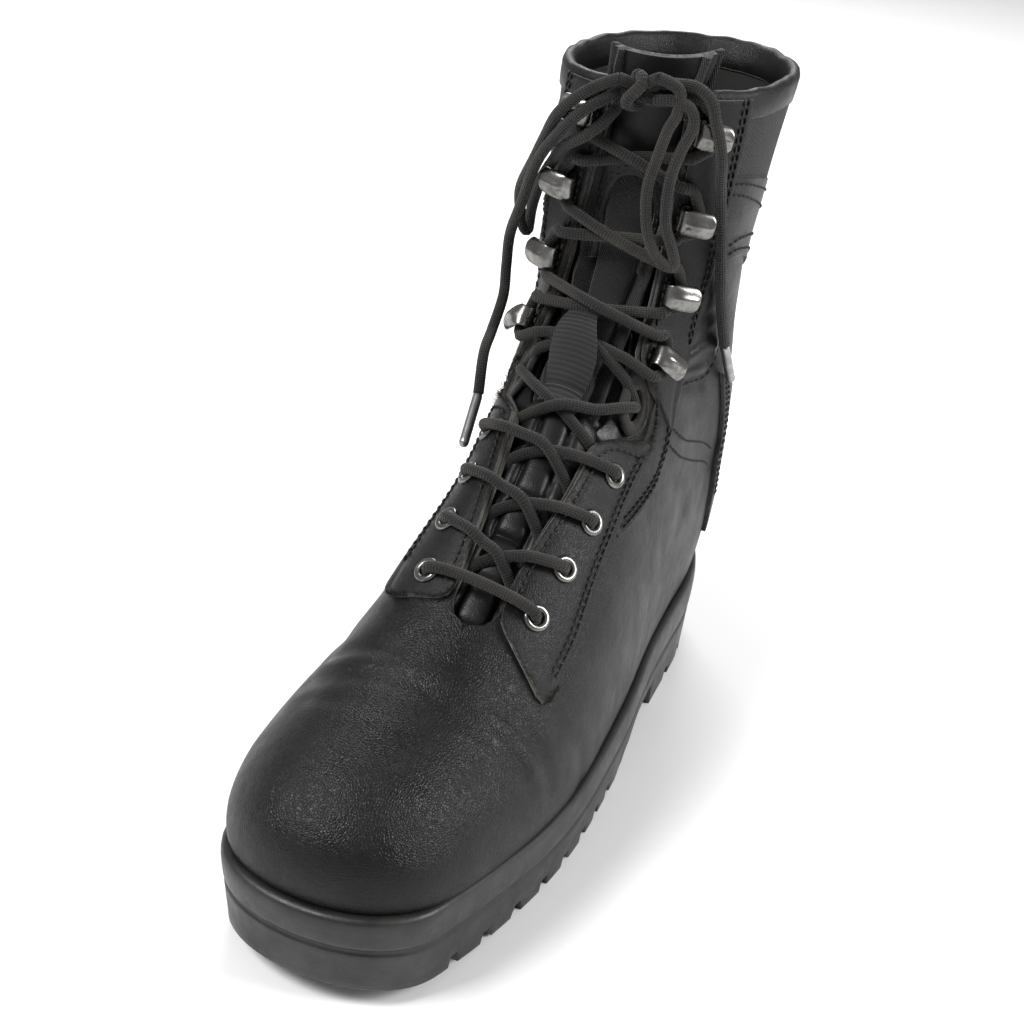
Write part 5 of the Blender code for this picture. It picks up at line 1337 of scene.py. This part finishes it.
# %% [markdown]
# ## Tongue
# The lower half of the tongue is padded leather, quilted into upright cells by its seams. Above the
# ankle it is canvas, folded into gussets at the sides, with a leather top whose arched edge frames the
# canvas. A strap of webbing is sewn on it, and the lace passes underneath.


# %% Build the tongue
TONGUE_HALF = ((0.109, 0.017), (0.140, 0.020), (0.200, 0.028), (0.235, 0.0345), (0.250, 0.0335), (0.320, 0.0260), (0.400, 0.0235))
TONGUE_FROM = 0.1095
TONGUE_THICKNESS = 0.0040
TONGUE_SINK = 0.0069


def tongue_top(along, across):
    """Height of the tongue's face over the form, without its quilting."""
    seat = np.clip((along - TONGUE_FROM) / 0.016, 0.0, 1.0)
    seat = seat * seat * (3 - 2 * seat)
    share = across / read(TONGUE_HALF, along)
    seated = WALL + 0.0004
    return -(seated + (TONGUE_SINK - seated) * seat) + 0.0012 * (1 - np.clip(share, -1, 1) ** 2) ** 2 * seat


def quilted(along, across):
    """Pillows between upright seams, with short cross seams that start and stop like the real ones."""
    width = 0.0150
    column = np.floor(across / width + 0.5)
    inside = (across / width + 0.5) - column
    pillow = 1 - np.abs(2 * inside - 1) ** 5
    length = 0.0175 + 0.003 * (column % 2)
    place = along / length + 0.45 * (column % 2)
    cell = place - np.floor(place)
    cross = 1 - np.abs(2 * cell - 1) ** 5
    return 0.0030 * pillow * (0.25 + 0.75 * cross) - 0.0014


def tongue_grid(low, high, half_scale=1.0, size=0.0011):
    along = np.linspace(low, high, max(6, int((high - low) / size)))
    columns = 56
    share = np.linspace(-1, 1, columns)
    across = read(TONGUE_HALF, along)[:, None] * share[None, :] * half_scale
    return np.broadcast_to(along[:, None], across.shape), across


def build_tongue():
    along, across = tongue_grid(TONGUE_FROM, 0.2190)
    seat = np.clip((along - TONGUE_FROM) / 0.016, 0.0, 1.0)
    edge = np.clip((0.2190 - along) / 0.004, 0.0, 1.0) ** 0.5
    face = tongue_top(along, across) + (quilted(along, across) + 0.0006) * seat * edge
    padding = slab("tongue_padding", spots(along, across, face), spots(along, across, tongue_top(along, across) - TONGUE_THICKNESS), TONGUE_LEATHER, WORN_EDGE)
    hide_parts("tongue")
    along, across = tongue_grid(0.2060, 0.3440)
    near = np.clip((along - 0.2060) / 0.012, 0.0, 1.0)
    folds = -0.0034 * np.exp(-((np.abs(across) - 0.0128) / 0.0020) ** 2)
    upper_part = np.clip((along - 0.2440) / 0.010, 0.0, 1.0)
    folds += (0.0030 + 0.0024 * upper_part) * np.exp(-((np.abs(across) - 0.0162) / 0.0026) ** 2)
    folds -= 0.0022 * np.exp(-((np.abs(across) - 0.0212) / 0.0016) ** 2)
    ripple = 0.0005 * np.sin(along * 520 + across * 260) * np.exp(-((np.abs(across) - 0.015) / 0.006) ** 2)
    face = tongue_top(along, across) + (folds + ripple) * near - 0.0008
    canvas = slab("tongue_canvas_sheet", spots(along, across, face), spots(along, across, tongue_top(along, across) - 0.0036), CANVAS, CANVAS)
    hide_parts("tongue")


def arch_edge(centre, low, reach, half, count=24):
    turn = np.linspace(0, math.pi, count)
    return [(low + reach * math.sin(t), centre - half * math.cos(t)) for t in turn]


def build_tongue_top():
    """The leather top: everything above an arch over the canvas."""
    arch = [(0.2700, -0.0122)] + arch_edge(0.0, 0.2860, 0.0150, 0.0118, 22) + [(0.2700, 0.0122)]
    frame_out = [(0.2700, -0.0150)] + [(0.3440, c) for c in np.linspace(-0.0215, 0.0215, 22)] + [(0.2700, 0.0150)]
    first, _ = even_points(np.array(arch), 70)
    share = np.linspace(0, 1, 60)
    outer = np.array(frame_out)
    outer, _ = even_points(outer, 70)
    grid = first[:, None] * (1 - share[None, :, None]) + outer[:, None] * share[None, :, None]
    along, across = grid[..., 0], grid[..., 1]
    top = spots(along, across, tongue_top(along, across) + 0.0012)
    bottom = spots(along, across, tongue_top(along, across) - 0.0030)
    made = slab("tongue_top", top, bottom, TONGUE_LEATHER, RAW_EDGE)
    rows = [shifted(arch, 0.0016), shifted(arch, 0.0034)]
    stitches("stitches_tongue_top", rows, [-0.0050, -0.0050])


build_tongue()
build_tongue_top()

# %% Build the keeper strap
KEEPER_FROM, KEEPER_LENGTH, KEEPER_HALF = 0.2120, 0.0410, 0.0082


def build_keeper():
    share = np.linspace(0, 1, 64)
    along = KEEPER_FROM + KEEPER_LENGTH * share
    arch = np.sin(math.pi * np.clip((share - 0.15) / 0.85, 0, 1)) ** 0.7
    over = np.linspace(-1, 1, 24)
    width = KEEPER_HALF * np.interp(share, (0, 0.45, 1), (1.0, 0.96, 0.62))
    across = width[:, None] * over[None, :] + 0.0012 * np.sin(share * 5)[:, None] - 0.0025
    seat = tongue_top(along[:, None], across) + 0.0008 + 0.0022 * (share[:, None] < 0.17)
    low = seat + (0.0034 - seat) * arch[:, None]
    top = spots(along[:, None], across, low + 0.0016)
    bottom = spots(along[:, None], across, low)
    made = slab("keeper_strap", top, bottom, WEBBING, WEBBING, 0.0003)
    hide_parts("tongue_keeper")
    return made


build_keeper()


# %% [markdown]
# ## Ankle loops
# In the notch on each side sits a leather tab with an oval hole for the lace. It is a ring cut from
# thick leather, and its raw edge has gone fuzzy.


# %% Build the ankle loops
def build_ankle_loop(side, word):
    around = 60
    turn = np.linspace(0, 2 * math.pi, around, endpoint=False)
    along0, across0 = LOOP_SPOT
    outer = np.stack([0.0108 * np.sign(np.cos(turn)) * np.abs(np.cos(turn)) ** 0.75, 0.0082 * np.sign(np.sin(turn)) * np.abs(np.sin(turn)) ** 0.75], 1)
    inner = np.stack([0.0056 * np.cos(turn), 0.0033 * np.sin(turn)], 1)
    loop = []
    for share, up in ((0, 0.0), (0.1, 0.0009), (0.35, 0.0012), (0.7, 0.0012), (0.92, 0.0009), (1, 0.0), (0.9, -0.0007), (0.5, -0.0009), (0.1, -0.0007)):
        ring = inner + (outer - inner) * share
        loop.append(spots(along0 + ring[:, 0], side * (across0 + 0.0006 + ring[:, 1]), up - WALL - 0.0010 + 0.0012))
    points = np.array(loop).reshape(-1, 3)
    rings = len(loop)
    faces = []
    for r in range(rings):
        for j in range(around):
            nxt, up_ring = (j + 1) % around, (r + 1) % rings
            faces.append((r * around + j, r * around + nxt, up_ring * around + nxt, up_ring * around + j))
    made = put("ankle_tab_" + word, mesh_from("ankle_tab_" + word, points, faces), [TAB_EDGE])
    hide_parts("ankle_loop_" + word)


for side, word in ((1, "outer"), (-1, "inner")):
    build_ankle_loop(side, word)


# %% [markdown]
# ## Eyelets and hooks
# An eyelet is a short steel tube whose rim is rolled over the leather. A speed hook is pressed from
# sheet: a foot, a neck towards the throat, and a domed plate that holds the lace. Both are worn down to
# dull grey with dark stains.


# %% Frames on the leather, and the eyelets
def frame_on(along, across, up):
    centre = spots(along, across, up)
    normal = spots(along, across, up + 0.005) - centre
    normal /= np.linalg.norm(normal)
    upward = spots(along + 0.0008, across, up) - centre
    upward -= normal * np.dot(upward, normal)
    upward /= np.linalg.norm(upward)
    outward = np.cross(upward, normal)
    outward *= 1 if outward[0] * across > 0 else -1
    return centre, normal, upward, outward


def build_eyelet(number, side, word):
    along, spread_out = eyelet_place(number)
    centre, normal, upward, outward = frame_on(along, side * spread_out, FACING_TOP)
    profile = [(0.0028, -0.0052), (0.0024, -0.0052), (0.0024, -0.0006)]
    for turn in np.linspace(math.pi, 0, 9):
        profile.append((0.00365 + 0.00125 * math.cos(turn), 0.0004 + 0.0010 * math.sin(turn)))
    profile += [(0.0049, 0.0000), (0.0030, -0.0002)]
    around = 40
    points, faces = [], []
    for r, h in profile:
        for turn in np.linspace(0, 2 * math.pi, around, endpoint=False):
            points.append(centre + normal * h + upward * r * math.cos(turn) + outward * r * math.sin(turn))
    count = len(profile)
    for k in range(count):
        for j in range(around):
            a, b = k * around + j, k * around + (j + 1) % around
            nxt = ((k + 1) % count - k) * around
            faces.append((a, b, b + nxt, a + nxt))
    name = f"eyelet_ring_{word}_{number + 1}"
    made = put(name, mesh_from(name, points, faces), [WORN_STEEL])
    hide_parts(f"eyelet_{word}_{number + 1}")


# %% Build the hooks
HOOK_REACH = 0.0092
HOOK_RISE = 0.0062


def build_hook(number, side, word):
    along, spread_out = hook_place(number)
    centre, normal, upward, outward = frame_on(along, side * spread_out, FACING_TOP + 0.0007)
    line = [(HOOK_REACH * 0.80, 0.0), (HOOK_REACH * 0.4, 0.0), (0.0, 0.0)]
    for turn in (25, 50, 75, 100, 125, 150):
        angle = math.radians(turn)
        line.append((-0.0031 * math.sin(angle), 0.0031 * (1 - math.cos(angle))))
    line += [(0.0, HOOK_RISE), (HOOK_REACH * 0.28, HOOK_RISE + 0.0004), (HOOK_REACH * 0.52, HOOK_RISE + 0.0005)]
    line += [(HOOK_REACH * 0.72, HOOK_RISE + 0.0005), (HOOK_REACH * 0.88, HOOK_RISE + 0.0006)]
    line += [(HOOK_REACH * 0.97, HOOK_RISE + 0.0009), (HOOK_REACH * 1.01, HOOK_RISE + 0.0011)]
    across_steps = np.linspace(-1, 1, 13)
    grid = []
    count = len(line)
    for k, (t, n) in enumerate(line):
        half = HOOK_WIDTH / 2
        neck = math.exp(-((k - 6) / 2.2) ** 2)
        half *= 1 - 0.22 * neck
        if k >= count - 4:
            half *= (1.0, 0.97, 0.82, 0.55)[k - (count - 4)]
        if k <= 1:
            half *= (0.72, 0.95)[k]
        dome = 0.0009 * (1 - across_steps ** 2) if k > 8 else 0.0004 * (1 - across_steps ** 2) * (k > 3)
        rib = 0.0008 * np.exp(-(across_steps / 0.24) ** 2) if 8 < k < count - 2 else 0.0
        curl = -0.0010 * np.abs(across_steps) ** 6 if k > 8 else 0.0
        rise = n + dome + rib + curl
        shift = t - HOOK_REACH * 0.30
        grid.append([centre + outward * shift + normal * r + upward * half * a for a, r in zip(across_steps, rise)])
    grid = np.array(grid)
    name = f"hook_plate_{word}_{number + 1}"
    faces = grid_faces(count, len(across_steps))
    made = put(name, mesh_from(name, grid.reshape(-1, 3), faces), [WORN_STEEL])
    thick = made.modifiers.new("sheet", "SOLIDIFY")
    thick.thickness = 0.0009
    thick.offset = 0
    smooth = made.modifiers.new("rounded", "SUBSURF")
    smooth.levels = 1
    smooth.render_levels = 1
    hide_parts(f"hook_{word}_{number + 1}")


for side, word in ((1, "outer"), (-1, "inner")):
    for number in range(4):
        build_eyelet(number, side, word)
        build_hook(number, side, word)


# %% [markdown]
# ## Sole
# The sole is one moulding: a smooth sidewall with a rounded lip that grips the upper, a heel block,
# and lugs across the tread. Its outline is the upper's lower edge pushed outwards, in even steps, and
# the tread's height is a function of the place, so grooves and arch cut cleanly through the sides.

# %% Outline and tread of the sole
SOLE_EDGE = 0.0056
RIM_HEIGHT = 0.0042
TOE_SPRING = 0.0110
TOE_SPRING_FROM = -0.178
GROOVE_DEPTH = 0.0052
GROOVE_WIDTH = 0.0048
HEEL_BREAST = -0.043
FOREFOOT_FROM = -0.098
ARCH_RISE = 0.0125
TREAD_GROOVES = (
    (0.018, 0), (0.000, 0), (-0.020, 0),
    (-0.112, 12), (-0.126, 12), (-0.140, 12), (-0.155, 10), (-0.170, 8), (-0.186, 6), (-0.203, 4), (-0.220, 2),
)
SOLE_POINTS = 300


def ground(y):
    toe_end = HEEL_BACK - UPPER_LENGTH - SOLE_EDGE
    share = np.clip((TOE_SPRING_FROM - y) / (TOE_SPRING_FROM - toe_end), 0.0, 1.2)
    return TOE_SPRING * share ** 1.8


def tread(x, y):
    """Height of the sole's underside, with its arch and grooves."""
    x, y = np.broadcast_arrays(np.asarray(x, float), np.asarray(y, float))
    height = ground(y)
    span = HEEL_BREAST - FOREFOOT_FROM
    places = (FOREFOOT_FROM, HEEL_BREAST - 0.75 * span, HEEL_BREAST - 0.45 * span, HEEL_BREAST - 0.0060, HEEL_BREAST - 0.0015, HEEL_BREAST)
    rises = (0.0, ARCH_RISE * 0.45, ARCH_RISE * 0.86, ARCH_RISE, ARCH_RISE * 0.85, 0.0)
    height = np.maximum(height, np.interp(y, places, rises, 0.0, 0.0))
    for place, turn in TREAD_GROOVES:
        side = np.where(x + 0.003 >= 0, 1.0, -1.0)
        line = place + side * math.tan(math.radians(turn)) * (x - (side * 0.0285 - 0.003))
        away = np.abs(y - line)
        cut = np.clip((GROOVE_WIDTH / 2 + 0.0003 - away) / 0.0006, 0.0, 1.0)
        rib = np.clip((np.abs(x + 0.003) - 0.0065) / 0.0010, 0.0, 1.0)
        height = np.maximum(height, (GROOVE_DEPTH + ground(place)) * cut * rib)
    return height


def sole_ladder():
    """Matching points of the upper's lower edge on both sides, from the toe's tip to the heel."""
    left, right = [], []
    for share in np.linspace(0, 1, 40)[:-1]:
        left.append(share_spots(0.0, share, 0))
        right.append(share_spots(0.0, share, 1))
    for number in np.linspace(0, CLOSED_FROM, 200):
        left.append(share_spots(number, 1.0, 0))
        right.append(share_spots(number, 1.0, 1))
    left, _ = even_points(np.array(left), SOLE_POINTS)
    right, _ = even_points(np.array(right), SOLE_POINTS)
    return left, right


# %% Build the sole
def build_sole():
    left, right = sole_ladder()
    ring = np.concatenate([left, right[-2:0:-1]])
    for _ in range(70):
        ring = (np.roll(ring, 1, axis=0) + 2 * ring + np.roll(ring, -1, axis=0)) / 4
    ahead = np.roll(ring, -2, axis=0) - np.roll(ring, 2, axis=0)
    out = np.stack([ahead[:, 1], -ahead[:, 0], np.zeros(len(ring))], 1)
    out /= np.linalg.norm(out, axis=1, keepdims=True)
    if np.sum((ring - ring.mean(axis=0)) * out) < 0:
        out = -out
    for _ in range(50):
        out = (np.roll(out, 1, axis=0) + 2 * out + np.roll(out, -1, axis=0)) / 4
        out[:, 2] = 0
        out /= np.linalg.norm(out, axis=1, keepdims=True)
    # share of the way up from the tread to the rim, and share of the full edge width
    layers = (
        (0.00, 0.60), (0.012, 0.64), (0.10, 0.67), (0.20, 0.72), (0.34, 0.79), (0.44, 0.83), (0.495, 0.86), (0.512, 0.84), (0.525, 0.76), (0.55, 0.735),
        (0.58, 0.745), (0.595, 0.84), (0.615, 0.92), (0.66, 0.96), (0.74, 1.00), (0.84, 1.035), (0.90, 1.03), (0.95, 0.99), (0.98, 0.90), (1.00, 0.72),
        (1.005, 0.45), (0.99, 0.10), (0.93, -0.05),
    )
    count = len(ring)
    levels = []
    for share, edge in layers:
        spot = ring + out * SOLE_EDGE * edge
        bottom = ground(spot[:, 1])
        cup = 0.004 * np.clip((spot[:, 1] - 0.005) / 0.030, 0.0, 1.0)
        top = ring[:, 2] + RIM_HEIGHT + cup
        height = bottom + (top - bottom) * share
        spot[:, 2] = np.maximum(height, tread(spot[:, 0], spot[:, 1]))
        levels.append(spot)
    points = np.concatenate(levels)
    faces = []
    for k in range(len(levels) - 1):
        for j in range(count):
            nxt = (j + 1) % count
            faces.append((k * count + j, k * count + nxt, (k + 1) * count + nxt, (k + 1) * count + j))
    half = SOLE_POINTS
    one = levels[0][:half]
    two = np.concatenate([levels[0][:1], levels[0][:half - 1:-1], levels[0][half - 1:half]])
    share = np.linspace(0, 1, 18)
    under = one[:, None] * (1 - share[None, :, None]) + two[:, None] * share[None, :, None]
    under[:, 1:-1, 2] = tread(under[:, 1:-1, 0], under[:, 1:-1, 1])
    start = len(points)
    points = np.concatenate([points, under.reshape(-1, 3)])
    faces += grid_faces(half, len(share), start)
    made = put("sole_unit", mesh_from("sole_unit", points, faces, merge=1e-5), [RUBBER])
    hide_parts("outsole")
    return made


sole = build_sole()
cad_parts["insole"].material_slots[0].material = BOARD
print("sole", len(sole.data.polygons), "faces")


# %% [markdown]
# ## Studio
# The boot stands on a pale floor in soft white light, as in a product photograph. One large light from
# the upper left front makes the long satin highlights, a weaker one fills the other side, and the white
# surroundings lift the black leather to dark grey.


# %% Floor, surroundings and lights
def build_studio():
    data = bpy.data.meshes.new("floor")
    size = 6.0
    data.from_pydata([(-size, -size, 0), (size, -size, 0), (size, size, 0), (-size, size, 0)], [], [(0, 1, 2, 3)])
    floor = bpy.data.objects.new("floor", data)
    bpy.context.scene.collection.objects.link(floor)
    pale = new_look("pale_floor", (0.90, 0.90, 0.90), 0.9, specular=0.1)
    data.materials.append(pale)
    world = bpy.data.worlds.new("studio")
    bpy.context.scene.world = world
    world.use_nodes = True
    back = world.node_tree.nodes["Background"]
    back.inputs["Color"].default_value = (1.0, 1.0, 1.0, 1.0)
    back.inputs["Strength"].default_value = 0.36


def add_light(name, spot, aim, size, power):
    data = bpy.data.lights.new(name, "AREA")
    data.shape = "SQUARE"
    data.size = size
    data.energy = power
    light = bpy.data.objects.new(name, data)
    bpy.context.scene.collection.objects.link(light)
    back = (Vector(spot) - Vector(aim)).normalized()
    light.matrix_world = Matrix.Translation(Vector(spot)) @ back.to_track_quat("Z", "Y").to_matrix().to_4x4()
    return light


build_studio()
add_light("key", (-0.7, -0.9, 1.4), (0.0, -0.1, 0.12), 0.6, 27.0)
add_light("side", (1.3, 0.1, 0.9), (0.0, -0.05, 0.15), 0.6, 20.0)
add_light("back", (-0.5, 1.1, 1.1), (0.0, -0.05, 0.15), 0.8, 14.0)
bpy.context.scene.view_settings.view_transform = "Standard"
